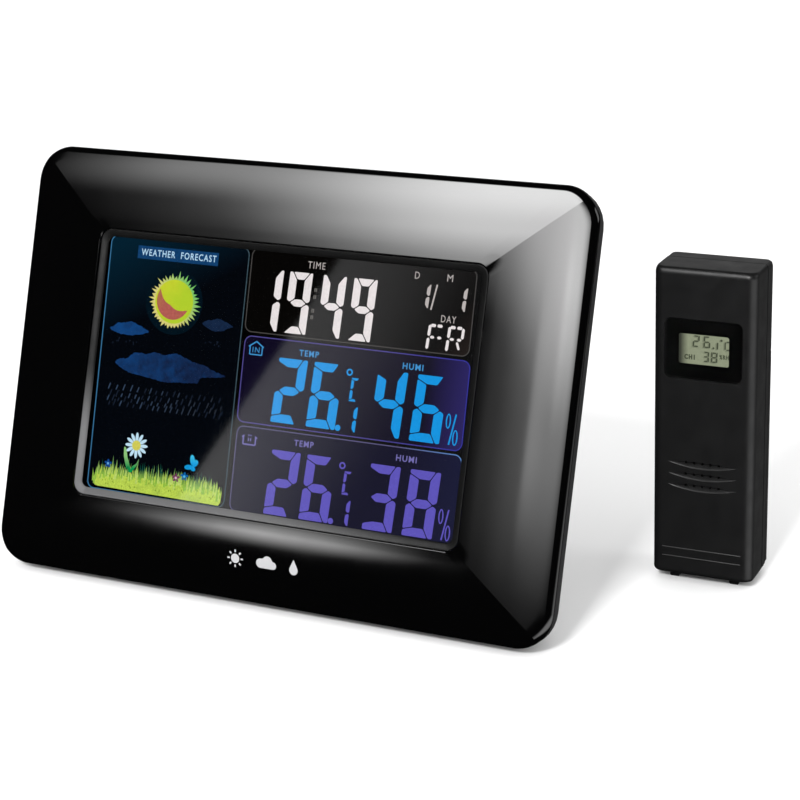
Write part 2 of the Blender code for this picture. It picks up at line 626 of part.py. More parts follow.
def console_lift():
    """Height of the console's lower front edge over the table, from its base ledge and rubber feet."""
    ledge = -BASE_START * math.sin(RECLINE) + 0.5 * math.cos(RECLINE)
    return FOOT_THICK + GAP - ledge


def rubber_feet(console):
    rise = math.tan(RECLINE)
    for name, x in (("rubber_foot_left", -62.0), ("rubber_foot_right", 62.0)):
        loops = []
        for drop in (GAP, GAP + FOOT_THICK):
            loops.append([(x + a, y, 0.5 + (y - BASE_START) * rise - drop / math.cos(RECLINE))
                          for a, y in ((-12, 6.0), (12, 6.0), (12, 15.5), (-12, 15.5))])
        node(name, Body().skin(loops), "rubber", console)


def case_screws(console):
    names = ("lower_left", "upper_left", "lower_right", "upper_right")
    for name, (x, z) in zip(names, screw_places()):
        profile = ((1.5, 0.6), (2.2, 1.05), (17.2, 1.05), (17.2, 2.5), (18.3, 2.3), (18.8, 1.6))
        screw = Body().turned((x, 0, z), (0, 1, 0), profile, 12)
        screw = node(f"case_screw_{name}", screw, "spring_steel", console)
        cross = Body().box((x - 1.3, x + 1.3), (18.1, 20.0), (z - 0.25, z + 0.25))
        cut(screw, cross)


# ---------------------------------------------------------------- outdoor sensor

def sensor_plan(front, back, front_radius, back_radius):
    """The case seen from above, anticlockwise, with round front and back edges."""
    half = SENSOR_WIDTH / 2
    points = []
    corners = ((half, back, back_radius, 0), (-half, back, back_radius, 90),
               (-half, front, front_radius, 180), (half, front, front_radius, 270))
    for x, y, radius, start in corners:
        if radius <= 0:
            points.append((x, y))
            continue
        centre_x = x - math.copysign(radius, x)
        centre_y = y - radius if y == back else y + radius
        for k in range(5):
            angle = math.radians(start + 90 * k / 4)
            points.append((centre_x + radius * math.cos(angle), centre_y + radius * math.sin(angle)))
    return points


def crescent(tips, sides=10):
    """A shallow hollow between two tips at a height; it swells more below them than above."""
    half = CRESCENT_HALF
    across = [half - 2 * half * k / sides for k in range(sides + 1)]
    top = [(x, tips + 0.55 * (1 - (x / half) ** 2)) for x in across]
    bottom = [(-x, tips - 1.75 * (1 - (x / half) ** 2)) for x in across[1:-1]]
    return top + bottom


def sensor_front(sensor):
    loops = []
    for inset, z in SENSOR_END_ROUNDS:
        plan = sensor_plan(inset, SENSOR_SPLIT, SENSOR_EDGE, 0.0)
        loops.append([(x * (1 - inset / 40), y, z) for x, y in plan])
    case = node("sensor_front_case", Body().skin(loops), "matt_black", sensor)
    inner = SENSOR_WIDTH / 2 - SENSOR_WALL
    removed = Body()
    removed.box((-inner, inner), (SENSOR_WALL + 0.2, SENSOR_SPLIT + 4),
                (SENSOR_BASE + SENSOR_WALL, SENSOR_HEIGHT - SENSOR_WALL - 0.2))
    cut(case, removed)
    lugs = Body()
    for x in (-LUG_X, LUG_X):
        lugs.box((x - 1.6, x + 1.6), LUG_Y, (0.0, SENSOR_BASE + 0.9))
    lugs.rod((0, 0, SENSOR_SCREW_Z), (0, 1, 0), 1.0, SENSOR_SPLIT - 0.4, 2.2, 12)
    join(case, lugs)
    details = Body()
    details.slab((MASK_X[0] - 0.2, MASK_X[1] + 0.2), (-2.0, 1.35), (MASK_Z[0] - 0.2, MASK_Z[1] + 0.2), 1.8)
    for row in range(3):
        outline = crescent(CRESCENT_Z - CRESCENT_PITCH * row)
        details.skin([[(x, y, z) for x, z in outline] for y in (-1.0, 0.5)])
    for z in GROOVE_HEIGHTS:
        details.box((-GROOVE_X, GROOVE_X), (-1.0, 0.3), (z - 0.25, z + 0.25))
    cut(case, details)
    openings = Body()
    openings.slab((PANE_X[0] - 1.0, PANE_X[1] + 1.0), (-1.0, 4.0), (PANE_Z[0] - 1.0, PANE_Z[1] + 1.0), 0.8, 2)
    for row in range(3):
        for k in range(5):
            openings.rod((HOLE_PITCH * (k - 2), 0, CRESCENT_Z - CRESCENT_PITCH * row - 0.2),
                         (0, 1, 0), -1.0, 4.0, 0.38, 6)
    openings.rod((0, 0, SENSOR_SCREW_Z), (0, 1, 0), 3.2, SENSOR_SPLIT + 1, 1.0, 10)
    return cut(case, openings)


def sensor_rear(sensor):
    low_front = SENSOR_SPLIT + GAP
    loops = []
    for inset, z in SENSOR_END_ROUNDS:
        plan = sensor_plan(low_front, SENSOR_DEPTH - inset * 0.6, 0.0, 1.6)
        loops.append([(x * (1 - inset / 40), y, z) for x, y in plan])
    case = node("sensor_rear_case", Body().skin(loops), "matt_black", sensor)
    inner = SENSOR_WIDTH / 2 - SENSOR_WALL
    shelf = SENSOR_DOOR_FRONT - GAP
    removed = Body()
    removed.box((-20, 20), (shelf, SENSOR_DEPTH + 4), (-1.0, SENSOR_DOOR_TOP + GAP))
    removed.box((-inner, inner), (low_front - 4, shelf - 1.5), (SENSOR_BASE + SENSOR_WALL, 70.0))
    cut(case, removed)
    upper = Body().box((-inner, inner), (low_front - 4, SENSOR_DEPTH - 1.6), (77.3, SENSOR_HEIGHT - 2.0))
    upper.box((-inner, inner), (low_front - 4, shelf - 1.5), (69.5, 77.6))
    cut(case, upper)
    added = Body()
    added.box((-SENSOR_BAY_X - 1.2, SENSOR_BAY_X + 1.2), (5.3, shelf - 0.4),
              (SENSOR_BAY_LOW - 1.2, SENSOR_BAY_HIGH + 1.2))
    added.rod((0, 0, SENSOR_SCREW_Z), (0, 1, 0), low_front + 0.1, shelf - 0.5, 2.4, 12)
    join(case, added)
    openings = Body()
    openings.box((-SENSOR_BAY_X, SENSOR_BAY_X), (6.0, shelf + 4), (SENSOR_BAY_LOW, SENSOR_BAY_HIGH))
    openings.box((KNOB_X - 2.4, -0.6), (8.0, shelf + 4), (KNOB_Z - 1.6, KNOB_Z + 1.6))
    openings.rod((BUTTON_X, 0, KNOB_Z), (0, 1, 0), 8.0, shelf + 4, 1.8, 12)
    well = ((8.0, 1.25), (13.4, 1.25), (13.4, 2.0), (20.0, 2.0))
    openings.turned((0, 0, SENSOR_SCREW_Z), (0, 1, 0), well, 10)
    return cut(case, openings)


def sensor_door(sensor):
    """The battery cover: a shallow tray over the lower back, turning on its round lower edge."""
    half_depth = (SENSOR_DEPTH - SENSOR_DOOR_FRONT) / 2
    pivot = (0, SENSOR_DOOR_FRONT + half_depth, SENSOR_BASE + half_depth)
    half = SENSOR_WIDTH / 2
    low = SENSOR_DEPTH - 1.2
    plan = [(half, SENSOR_DOOR_FRONT), (half, low), (half - 1.2, SENSOR_DEPTH),
            (1.2 - half, SENSOR_DEPTH), (-half, low), (-half, SENSOR_DOOR_FRONT)]
    tray = Body().skin([[(x, y, z) for x, y in plan] for z in (pivot[2], SENSOR_DOOR_TOP)])
    door = node("sensor_battery_door", tray, "matt_black", sensor, origin=pivot)
    join(door, Body().rod(pivot, (1, 0, 0), -half + 0.6, half - 0.6, half_depth - 0.02, 14))
    removed = Body()
    removed.box((-half + 1.5, half - 1.5), (SENSOR_DOOR_FRONT - 2, SENSOR_DEPTH - 1.4),
                (pivot[2] + 2.6, SENSOR_DOOR_TOP + 2))
    for way in (-1, 1):
        low, high = SENSOR_DEPTH - 1.3, SENSOR_DEPTH + 1.5
        nick = [(low, SENSOR_DOOR_TOP - 1.6), (high, SENSOR_DOOR_TOP - 3.4), (high, SENSOR_DOOR_TOP + 2),
                (low, SENSOR_DOOR_TOP + 2)]
        removed.drawn(nick, sorted((way * (half - 3.0), way * (half + 2))))
    cut(door, removed)


def sensor_inside(sensor):
    node("sensor_window", Body().slab(MASK_X, (0.05, 0.75), MASK_Z, 1.6), "smoked_clear", sensor)
    x, z = ((low + 0.3, high - 0.3) for low, high in (MASK_X, MASK_Z))
    mask = Body().slab(x, (0.85, 1.15), z, 1.4)
    mask = node("sensor_mask", mask, "gloss_black", sensor)
    cut(mask, Body().slab(PANE_X, (-1.0, 3.0), PANE_Z, 0.6, 2))
    lcd = Body().box((PANE_X[0] - 0.6, PANE_X[1] + 0.6), (1.55, 3.1), (PANE_Z[0] - 0.6, PANE_Z[1] + 0.6))
    node("sensor_lcd", lcd, "sensor_lcd", sensor)
    board = node("sensor_board", Body().box((-13.2, 13.2), (3.5, 4.5), (24.0, 99.0)), "board_green", sensor)
    join(board, Body().box((-3.0, 3.0), (4.3, 5.6), (74.0, 80.0)))
    probe = Body().slab((-5.0, 5.0), (2.2, 3.2), (30.0, 37.0), 0.6, 2)
    probe = node("sensor_probe", probe, "light_white", sensor)
    cut(probe, Body().rod((0, 0, 33.5), (0, 1, 0), 2.6, 6.0, 1.2, 10))
    ridges = []
    for k in range(8):
        ridges += [(1.3 * k, 1.6), (1.3 * k + 0.65, 2.1)]
    coil = Body().turned((-5.0, 4.8 + 2.2, 92.0), (1, 0, 0), ridges, 10)
    node("sensor_antenna_coil", coil, "copper", sensor)

    middle = (SENSOR_BAY_LOW + SENSOR_BAY_HIGH) / 2
    for k, way in enumerate((1, -1)):
        x = SENSOR_CELL_X * (1 if k else -1)
        cell(f"sensor_cell_{k + 1}", sensor, (x, SENSOR_CELL_Y, middle + 1.3 * way), (0, 0, way))
    for name, side in (("sensor_contact_lower", -1), ("sensor_contact_upper", 1)):
        wall = SENSOR_BAY_HIGH - GAP if side > 0 else SENSOR_BAY_LOW + GAP
        z = sorted((wall, wall - side * 0.5))
        strip = node(name, Body().box((-10.6, 10.6), (7.4, 15.2), z), "spring_steel", sensor)
        x = SENSOR_CELL_X * (1 if side > 0 else -1)
        start = (x, SENSOR_CELL_Y, wall - side * 0.3)
        join(strip, Body().turned(start, (0, 0, -side), spring_profile(4.2, 4), 12))

    nub = Body().slab((KNOB_X - 1.8, KNOB_X + 1.8), (13.0, 17.4), (KNOB_Z - 1.1, KNOB_Z + 1.1), 0.4, 2)
    slider = node("channel_switch_knob", nub, "natural_plastic", sensor, origin=(KNOB_X, KNOB_Y, KNOB_Z))
    join(slider, Body().box((KNOB_X - 2.6, KNOB_X + 2.6), (12.0, 13.7), (KNOB_Z - 2.2, KNOB_Z + 2.2)))
    stem = ((12.0, 2.6), (13.4, 2.6), (13.4, 1.5), (17.2, 1.5))
    stem = Body().turned((BUTTON_X, 0, KNOB_Z), (0, 1, 0), stem, 12)
    node("transmit_button", stem, "rubber", sensor, origin=(BUTTON_X, KNOB_Y, KNOB_Z))
    screw = ((4.4, 0.5), (5.0, 0.85), (13.7, 0.85), (13.7, 1.7), (14.6, 1.4))
    node("sensor_screw", Body().turned((0, 0, SENSOR_SCREW_Z), (0, 1, 0), screw, 10), "spring_steel", sensor)


# ---------------------------------------------------------------- assembly

def centre_over_origin(station):
    """Moves the whole station so that the middle of its box is over the origin."""
    bpy.context.view_layer.update()
    graph = bpy.context.evaluated_depsgraph_get()
    corners = []
    for thing in bpy.data.objects:
        if thing.type == "MESH" and not thing.hide_render:
            solid = thing.evaluated_get(graph)
            corners += [solid.matrix_world @ vertex.co for vertex in solid.data.vertices]
    for axis in (0, 1):
        values = [corner[axis] for corner in corners]
        station.location[axis] -= (min(values) + max(values)) / 2


def build():
    clear_scene()
    station = empty("station")
    console = empty("console", station, (0, 0, console_lift()), (-RECLINE, 0, 0))
    sensor = empty("sensor", station, (SENSOR_X, SENSOR_Y, 0), (0, 0, SENSOR_YAW))
    front_bezel(console)
    rear_housing(console)
    display(console)
    main_board(console)
    on_board(console)
    key_board(console)
    keys(console)
    console_power(console)
    stand(console)
    rubber_feet(console)
    case_screws(console)
    sensor_front(sensor)
    sensor_rear(sensor)
    sensor_door(sensor)
    sensor_inside(sensor)
    centre_over_origin(station)


build()
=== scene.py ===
"""Looks of the home weather station: a gloss black desk console with a lit display, and its outdoor sensor.

Shapes are drawn in millimetres in two local frames, both with x to the right, y away from the viewer
and z up:
  console  x = 0 on the middle, y = 0 on the parting plane of the shells, z = 0 on the lower edge;
  sensor   x = 0 on the middle, y = 0 on the front face, z = 0 on the table.
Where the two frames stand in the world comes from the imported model's mounts.
"""

import json
import random
from functools import reduce
from math import atan2, copysign, cos, dist, pi, radians, sin, sqrt

import bmesh
import bpy
from mathutils import Matrix, Vector


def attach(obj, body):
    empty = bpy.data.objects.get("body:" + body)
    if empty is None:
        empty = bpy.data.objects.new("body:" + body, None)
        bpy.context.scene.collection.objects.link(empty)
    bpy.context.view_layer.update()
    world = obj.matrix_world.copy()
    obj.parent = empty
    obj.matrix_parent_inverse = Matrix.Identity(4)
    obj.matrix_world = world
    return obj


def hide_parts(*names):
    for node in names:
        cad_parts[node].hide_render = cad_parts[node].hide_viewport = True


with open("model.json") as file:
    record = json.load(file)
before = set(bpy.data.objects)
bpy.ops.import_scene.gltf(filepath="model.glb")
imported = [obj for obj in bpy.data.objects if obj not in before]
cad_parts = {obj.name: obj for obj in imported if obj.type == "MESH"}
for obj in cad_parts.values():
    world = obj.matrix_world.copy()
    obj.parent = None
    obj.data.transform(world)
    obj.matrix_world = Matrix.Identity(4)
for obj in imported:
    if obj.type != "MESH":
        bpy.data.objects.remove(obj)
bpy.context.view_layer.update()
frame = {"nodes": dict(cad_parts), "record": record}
MM = 0.001

# ---------------- sizes, as the CAD has them

WIDTH, HEIGHT, CORNER = 200.0, 140.0, 12.0
ROLL = 2.2
WINDOW_WIDTH, WINDOW_HEIGHT, WINDOW_FRONT = 139.0, 88.0, -7.5
WINDOW_CORNER = 4.3
MIDDLE = HEIGHT / 2
LEDGE = 2.8
LENS_HALF = (67.6, 42.1)
BACK = 21.5
SENSOR_WIDTH, SENSOR_HEIGHT, SENSOR_DEPTH = 33.0, 104.8, 19.4
SENSOR_BASE, SENSOR_SPLIT, SENSOR_WALL, SENSOR_EDGE = 2.4, 12.6, 1.7, 3.0
MASK_X, MASK_Z = (-12.6, 12.2), (69.3, 88.6)
PANE_X, PANE_Z = (-8.3, 7.9), (74.0, 83.8)
CRESCENT_Z, CRESCENT_PITCH, CRESCENT_HALF = 41.2, 3.85, 11.2
HOLE_PITCH, HOLE_RADIUS = 2.7, 0.48
GROOVE_X, GROOVE_HEIGHTS = 13.0, (11.8, 8.8)

BACK_MOUNT_PLACE = (0.0, BACK, 72.4)            # where the mount console_back is, in the console's frame
SENSOR_MOUNT_PLACE = (0.0, SENSOR_DEPTH, 90.0)  # where the mount sensor_back is, in the sensor's frame


def local_frame(mount_name, place):
    """The matrix from a local frame, in millimetres, to the world, in metres."""
    mount = next(m for m in frame["record"]["mounts"] if m["name"] == mount_name)
    back = Vector(mount["axis"]).normalized()
    right = back.cross(Vector((0, 0, 1))).normalized()
    up = right.cross(back)
    turn = Matrix((right, back, up)).transposed()
    origin = Vector(mount["pos_m"]) - turn @ (Vector(place) * MM)
    return Matrix.Translation(origin) @ turn.to_4x4() @ Matrix.Scale(MM, 4)


CONSOLE = local_frame("console_back", BACK_MOUNT_PLACE)
SENSOR = local_frame("sensor_back", SENSOR_MOUNT_PLACE)


# ---------------- node materials

class Nodes:
    """Short ways to add nodes to a material's or a world's tree."""

    def __init__(self, tree):
        self.tree = tree

    def add(self, kind, inputs=(), **settings):
        made = self.tree.nodes.new(kind)
        for key, value in settings.items():
            setattr(made, key, value)
        for socket, value in dict(inputs).items():
            if isinstance(value, bpy.types.NodeSocket):
                self.tree.links.new(value, made.inputs[socket])
            else:
                made.inputs[socket].default_value = value
        return made

    def between(self, value, low, high, first, last, kind="LINEAR"):
        """Goes from first to last as the value goes from low to high, and no further."""
        made = self.add("ShaderNodeMapRange", {"Value": value, "From Min": low, "From Max": high,
                                               "To Min": first, "To Max": last})
        made.interpolation_type = kind
        return made.outputs["Result"]

    def ramp(self, value, low, high, first=0.0, last=1.0):
        """Goes smoothly from first to last as the value goes from low to high."""
        return self.between(value, low, high, first, last, "SMOOTHSTEP")

    def fall(self, value, low, high):
        return self.ramp(value, low, high, 1.0, 0.0)

    def band(self, value, rise, fall):
        """Two factors that leave only the values from the rise to the fall."""
        return self.ramp(value, *rise), self.fall(value, *fall)

    def maths(self, operation, *values):
        return self.add("ShaderNodeMath", dict(enumerate(values)), operation=operation).outputs[0]

    def product(self, *values):
        return reduce(lambda result, value: self.maths("MULTIPLY", result, value), values)

    def total(self, *values):
        return reduce(lambda result, value: self.maths("ADD", result, value), values)


class Look(Nodes):
    """A procedural Principled material."""

    def __init__(self, name, colour, roughness, metallic=0.0, place=None, **sockets):
        self.material = bpy.data.materials.new(name)
        self.material.use_nodes = True
        super().__init__(self.material.node_tree)
        self.shader = self.tree.nodes["Principled BSDF"]
        self.shader.inputs["Base Color"].default_value = (*colour, 1.0)
        self.shader.inputs["Roughness"].default_value = roughness
        self.shader.inputs["Metallic"].default_value = metallic
        for socket, value in sockets.items():
            self.shader.inputs[socket.replace("_", " ")].default_value = value
        self.place = place
        self._where = None

    @property
    def where(self):
        """Position in the local frame, in millimetres, moving with the piece."""
        if self._where is None:
            coordinates = self.add("ShaderNodeTexCoord").outputs["Object"]
            if self.place is None:
                self._where = self.add("ShaderNodeVectorMath", {0: coordinates, 1: (1 / MM,) * 3},
                                       operation="MULTIPLY").outputs[0]
            else:
                inverse = self.place.inverted()
                turned = self.add("ShaderNodeMapping", {
                    "Vector": coordinates,
                    "Location": inverse.translation,
                    "Rotation": inverse.to_3x3().normalized().to_euler(),
                    "Scale": (1 / MM,) * 3,
                })
                self._where = turned.outputs[0]
        return self._where

    def noise(self, size, detail=2.0, roughness=0.5):
        """Noise with features of about size millimetres."""
        scaled = self.add("ShaderNodeVectorMath", {0: self.where, 1: (1 / size,) * 3},
                          operation="MULTIPLY").outputs[0]
        return self.add("ShaderNodeTexNoise", {"Vector": scaled, "Scale": 1.0, "Detail": detail,
                                               "Roughness": roughness}).outputs["Fac"]

    def mix(self, share, first, second):
        """Mixes two colours by a share."""
        inputs = {0: share}
        for socket, colour in ((6, first), (7, second)):
            inputs[socket] = colour if isinstance(colour, bpy.types.NodeSocket) else (*colour, 1.0)
        return self.add("ShaderNodeMix", inputs, data_type="RGBA").outputs[2]

    def along(self, direction):
        """How far a place lies along a direction, in millimetres."""
        return self.add("ShaderNodeVectorMath", {0: self.where, 1: direction},
                        operation="DOT_PRODUCT").outputs["Value"]

    def drive(self, socket, value):
        self.tree.links.new(value, self.shader.inputs[socket])

    def bump(self, height, distance_mm, strength=1.0):
        inputs = {"Height": height, "Distance": distance_mm * MM, "Strength": strength}
        self.drive("Normal", self.add("ShaderNodeBump", inputs).outputs[0])


def gloss_black():
    look = Look("gloss_black_abs", (0.0005, 0.0005, 0.00055), 0.07, place=CONSOLE, IOR=1.55)
    smear = look.noise(22.0, 3.0)
    look.drive("Roughness", look.between(smear, 0.3, 0.75, 0.05, 0.09))
    return look.material


def textured_black(name, place, tone=0.018, grain=0.28, rough=(0.42, 0.6), shine=0.5):
    """Spark-eroded plastic: a fine even grain, a little mottled."""
    look = Look(name, (tone, tone, tone * 1.05), 0.5, place=place, IOR=1.5, Specular_IOR_Level=shine)
    mottle = look.noise(14.0, 3.0)
    look.drive("Base Color", look.mix(mottle, (tone * 0.8,) * 3, (tone * 1.25, tone * 1.25, tone * 1.32)))
    look.drive("Roughness", look.between(look.noise(6.0), 0.3, 0.7, *rough))
    look.bump(look.noise(grain, 2.0, roughness=0.7), 0.03, 0.6)
    return look.material


def plain(name, colour, roughness, metallic=0.0, grain=0.6, place=None, **sockets):
    """A moulded or drawn part: slight change of tone and gloss, and a faint surface."""
    look = Look(name, colour, roughness, metallic, place, **sockets)
    tone = look.noise(9.0, 3.0)
    darker = tuple(c * 0.82 for c in colour)
    lighter = tuple(min(c * 1.12 + 0.003, 1.0) for c in colour)
    look.drive("Base Color", look.mix(tone, darker, lighter))
    smoother, rougher = roughness * 0.85, min(roughness * 1.2, 1.0)
    look.drive("Roughness", look.between(look.noise(3.0), 0.3, 0.7, smoother, rougher))
    look.bump(look.noise(grain, 2.0), 0.01)
    return look.material


# ---------------- shapes

def put(name, data):
    """A new object in the scene."""
    made = bpy.data.objects.new(name, data)
    bpy.context.collection.objects.link(made)
    return made


def evaluated(source):
    """The mesh of an object as its modifiers or its typeface leave it."""
    bpy.context.view_layer.update()
    return bpy.data.meshes.new_from_object(source.evaluated_get(bpy.context.evaluated_depsgraph_get()))


def polar(x, z, radius, angle):
    """The place a radius away from (x, z), in the direction of an angle."""
    return x + radius * cos(angle), z + radius * sin(angle)


class Shape:
    """A mesh drawn in the millimetres of a local frame."""

    def __init__(self, place):
        self.mesh = bmesh.new()
        self.place = place

    def skin(self, loops, ring=False):
        rows = [[self.mesh.verts.new(point) for point in loop] for loop in loops]
        pairs = list(zip(rows, rows[1:]))
        if ring:
            pairs.append((rows[-1], rows[0]))
        count = len(rows[0])
        for near, far in pairs:
            for k in range(count):
                after = (k + 1) % count
                self.mesh.faces.new((near[k], near[after], far[after], far[k]))
        if not ring:
            self.mesh.faces.new(list(reversed(rows[0])))
            self.mesh.faces.new(rows[-1])
        return self

    def card(self, outline, front, back):
        """A thin plate: an outline in (x, z) between two depths."""
        return self.skin([[(x, y, z) for x, z in outline] for y in (front, back)])

    def box(self, x, y, z):
        return self.card(((x[0], z[0]), (x[1], z[0]), (x[1], z[1]), (x[0], z[1])), *y)

    def bar(self, x, z, radius, front, back):
        """A round bar from front to back."""
        sides = 14
        turn = Vector((0, 0, 1)).rotation_difference(Vector((0, 1, 0))).to_matrix()
        angles = [2 * pi * k / sides for k in range(sides)]
        self.skin([[Vector((x, 0, z)) + turn @ Vector((*polar(0, 0, radius, angle), y)) for angle in angles]
                   for y in (front, back)])

    def combine(self, tool, operation):
        """Cuts another shape out of this one, or joins it on."""
        made = []
        for shape in (self, tool):
            bmesh.ops.recalc_face_normals(shape.mesh, faces=shape.mesh.faces)
            mesh = bpy.data.meshes.new("carving")
            shape.mesh.to_mesh(mesh)
            made.append(put("carving", mesh))
        whole, guide = made
        modifier = whole.modifiers.new("carve", "BOOLEAN")
        modifier.operation = operation
        modifier.solver = "EXACT"
        modifier.use_self = True
        modifier.object = guide
        result = evaluated(whole)
        self.mesh.clear()
        self.mesh.from_mesh(result)
        tool.mesh.free()
        for mesh in (whole.data, guide.data, result):
            bpy.data.meshes.remove(mesh)

    def cut(self, tool):
        self.combine(tool, "DIFFERENCE")

    def join(self, tool):
        self.combine(tool, "UNION")

    def piece(self, name, material, body, slot, replaces=(), *, smooth):
        """The shape as a piece that rides on a body; edges of more than smooth degrees stay sharp."""
        bmesh.ops.recalc_face_normals(self.mesh, faces=self.mesh.faces)
        self.mesh.transform(self.place)
        mesh = bpy.data.meshes.new(name)
        self.mesh.to_mesh(mesh)
        self.mesh.free()
        mesh.materials.append(material)
        if smooth:
            mesh.shade_smooth()
            mesh.set_sharp_from_angle(angle=radians(smooth))
        made = put(name, mesh)
        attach(made, body)
        if replaces:
            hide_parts(*replaces)
        return made


def rounded_rectangle(half_width, half_height, radius, steps, ridge=(1.0, 1.0)):
    """Points round a rectangle with round corners; each corner's middle point is on the line along ridge."""
    inward = Vector(ridge).normalized()
    lean = inward.x + inward.y
    reach = radius * (lean - sqrt(max(lean * lean - 1.0, 0.0)))
    middle = atan2(radius - reach * inward.y, radius - reach * inward.x)
    half = steps // 2
    first = [middle * k / half for k in range(half)]
    first += [middle + (pi / 2 - middle) * k / half for k in range(half + 1)]
    mirrored = [pi - angle for angle in reversed(first)]
    points = []
    for angles, turn in ((first, 0.0), (mirrored, 0.0), (first, pi), (mirrored, pi)):
        for angle in angles:
            cosine, sine = cos(angle + turn), sin(angle + turn)
            points.append((copysign(half_width - radius, cosine) + radius * cosine,
                           copysign(half_height - radius, sine) + radius * sine))
    return points


def round_panel(x_ends, z_ends, inset, radius, steps):
    """A rectangle with round corners between two ends each way, in (x, z)."""
    points = rounded_rectangle((x_ends[1] - x_ends[0]) / 2 - inset, (z_ends[1] - z_ends[0]) / 2 - inset,
                               radius, steps)
    return [(sum(x_ends) / 2 + x, sum(z_ends) / 2 + z) for x, z in points]


def outline_loop(inset_x, inset_z, radius, depth, ridge):
    """A loop inside the console's outline, at a depth or at the depths a function gives."""
    points = rounded_rectangle(WIDTH / 2 - inset_x, HEIGHT / 2 - inset_z, radius, 20, ridge)
    height_at = depth if callable(depth) else lambda x, z: depth
    return [(x, height_at(x, z), MIDDLE + z) for x, z in points]


# ---------------- console front

FACET_SIDE = (WIDTH - WINDOW_WIDTH) / 2 - ROLL     # how far the side facets and the end facets reach inward
FACET_END = (HEIGHT - WINDOW_HEIGHT) / 2 - ROLL


def facet(x, z):
    """Depth of the bezel's face, at a place measured from the console's middle."""
    from_side = (WIDTH / 2 - ROLL - abs(x)) / FACET_SIDE
    from_end = (HEIGHT / 2 - ROLL - abs(z)) / FACET_END
    at = max(min(from_side, from_end, 1.0), 0.0)
    return -(ROLL + (-WINDOW_FRONT - ROLL) * (at + 0.35 * at * (1 - at)))


def bezel(material):
    side, end = FACET_SIDE, FACET_END
    slope = (side, end)

    def facet_loop(share):
        radius = (CORNER - ROLL) + (WINDOW_CORNER - CORNER + ROLL) * share ** 0.8
        return outline_loop(ROLL + share * side, ROLL + share * end, radius, facet, slope)

    lean = 0.27          # rise per millimetre where the rim meets the facets

    def rolled(angle):
        """A loop on the rim, which ends as steep as the facets begin."""
        top = facet_loop(0.0)
        inset = ROLL * (1 - cos(angle))
        points = outline_loop(inset, inset, CORNER - inset, 0.0, slope)
        return [(x, (peak[1] + lean * ROLL) * sin(angle) - lean * inset, z)
                for (x, _, z), peak in zip(points, top)]

    window_x, window_z = side + ROLL, end + ROLL
    mouth = WINDOW_CORNER - 0.3
    inner = ((0.12, WINDOW_FRONT + 0.05, mouth), (0.24, WINDOW_FRONT + 0.16, mouth),
             (0.3, WINDOW_FRONT + 0.35, mouth), (0.3, -2.8, mouth), (-1.5, -2.8, 5.5),
             (-1.5, WINDOW_FRONT + 2.4, 5.5))
    loops = [rolled(radians(angle)) for angle in range(0, 90, 6)]
    loops += [facet_loop(k / 12) for k in range(13)]
    loops += [outline_loop(window_x + inset, window_z + inset, radius, depth, slope)
              for inset, depth, radius in inner]
    loops += [outline_loop(inset, inset, CORNER - inset, depth, slope)
              for inset, depth in ((4.6, -0.8), (2.0, 0.0))]
    shape = Shape(CONSOLE).skin(loops, ring=True)
    shape.piece("bezel_shell", material, "console", "gloss_black", ("front_bezel",), smooth=9)


def front_mark():
    """Three plain weather signs, printed in the middle of the lower facet."""
    low = 13.6
    sun_x, cloud_x, drop_x = -7.0, 1.2, 14.0
    sun = [ellipse(sun_x, low, 1.5, 1.5, 28)]
    for k in range(8):
        way = Vector(polar(0, 0, 1, pi * k / 4))
        sun.append(stroke(*(Vector((sun_x, low)) + way * reach for reach in (2.0, 2.8)), 0.5))
    cloud = []
    bows = ((5.4, -0.5, 1.2, -90, 60), (3.4, 0.6, 1.7, 10, 150), (0.9, -0.2, 1.5, 80, 270))
    for x, z, radius, first, last in bows:
        cloud += [polar(cloud_x + x, low + z, radius, radians(first + (last - first) * k / 8))
                  for k in range(9)]
    drop = [(drop_x, low + 2.6)]
    drop += [polar(drop_x, low - 0.8, 1.5, radians(150 + 240 * k / 14)) for k in range(15)]
    shape = Shape(CONSOLE)
    for outline in sun + [cloud, drop]:
        shape.skin([[(x, facet(x, z - MIDDLE) + rise, z) for x, z in outline] for rise in (-0.06, 0.02)])
    silver = plain("printed_silver", (0.52, 0.52, 0.53), 0.35, 0.3, place=CONSOLE)
    shape.piece("front_mark", silver, "console", "gloss_black", smooth=0)


def ledge_grey():
    """Satin grey with painted light and shade: near black everywhere as painted shade, and lighter along its
    lower left as a painted highlight where the light falls.
    """
    look = Look("ledge_grey_with_painted_light", (0.03, 0.03, 0.03), 0.5, place=CONSOLE, Specular_IOR_Level=0.15)
    # painted light: the lower left, which faces the light, is made lighter; the rest stays dark as painted
    # shade
    painted_light_lower_left = look.ramp(look.along((-0.3, 0.0, -0.95)), -47.0, -22.0)
    look.drive("Base Color", look.mix(painted_light_lower_left, (0.003, 0.003, 0.003), (0.1, 0.1, 0.102)))
    look.drive("Roughness", look.between(look.noise(3.0), 0.3, 0.7, 0.4, 0.55))
    return look.material


def window_loops(half_width, half_height, profile, corner, steps):
    """Loops round the middle of the window, one for each (inset, depth) of a profile."""
    loops = []
    for inset, depth in profile:
        points = rounded_rectangle(half_width - inset, half_height - inset, corner(inset), steps)
        loops.append([(x, depth, MIDDLE + z) for x, z in points])
    return loops


def ledge(material):
    profile = ((0.45, -6.5), (0.48, -6.85), (0.6, -6.95), (0.8, -6.94), (2.3, -6.36), (2.55, -6.2),
               (2.7, -6.05), (LEDGE, -5.9), (1.6, -5.75), (1.6, -3.2), (0.6, -3.2))
    loops = window_loops(WINDOW_WIDTH / 2, WINDOW_HEIGHT / 2, profile,
                         lambda inset: WINDOW_CORNER - 0.7 * inset, 16)
    shape = Shape(CONSOLE).skin(loops, ring=True)
    shape.piece("window_ledge", material, "console", "ledge_grey", ("window_frame",), smooth=50)


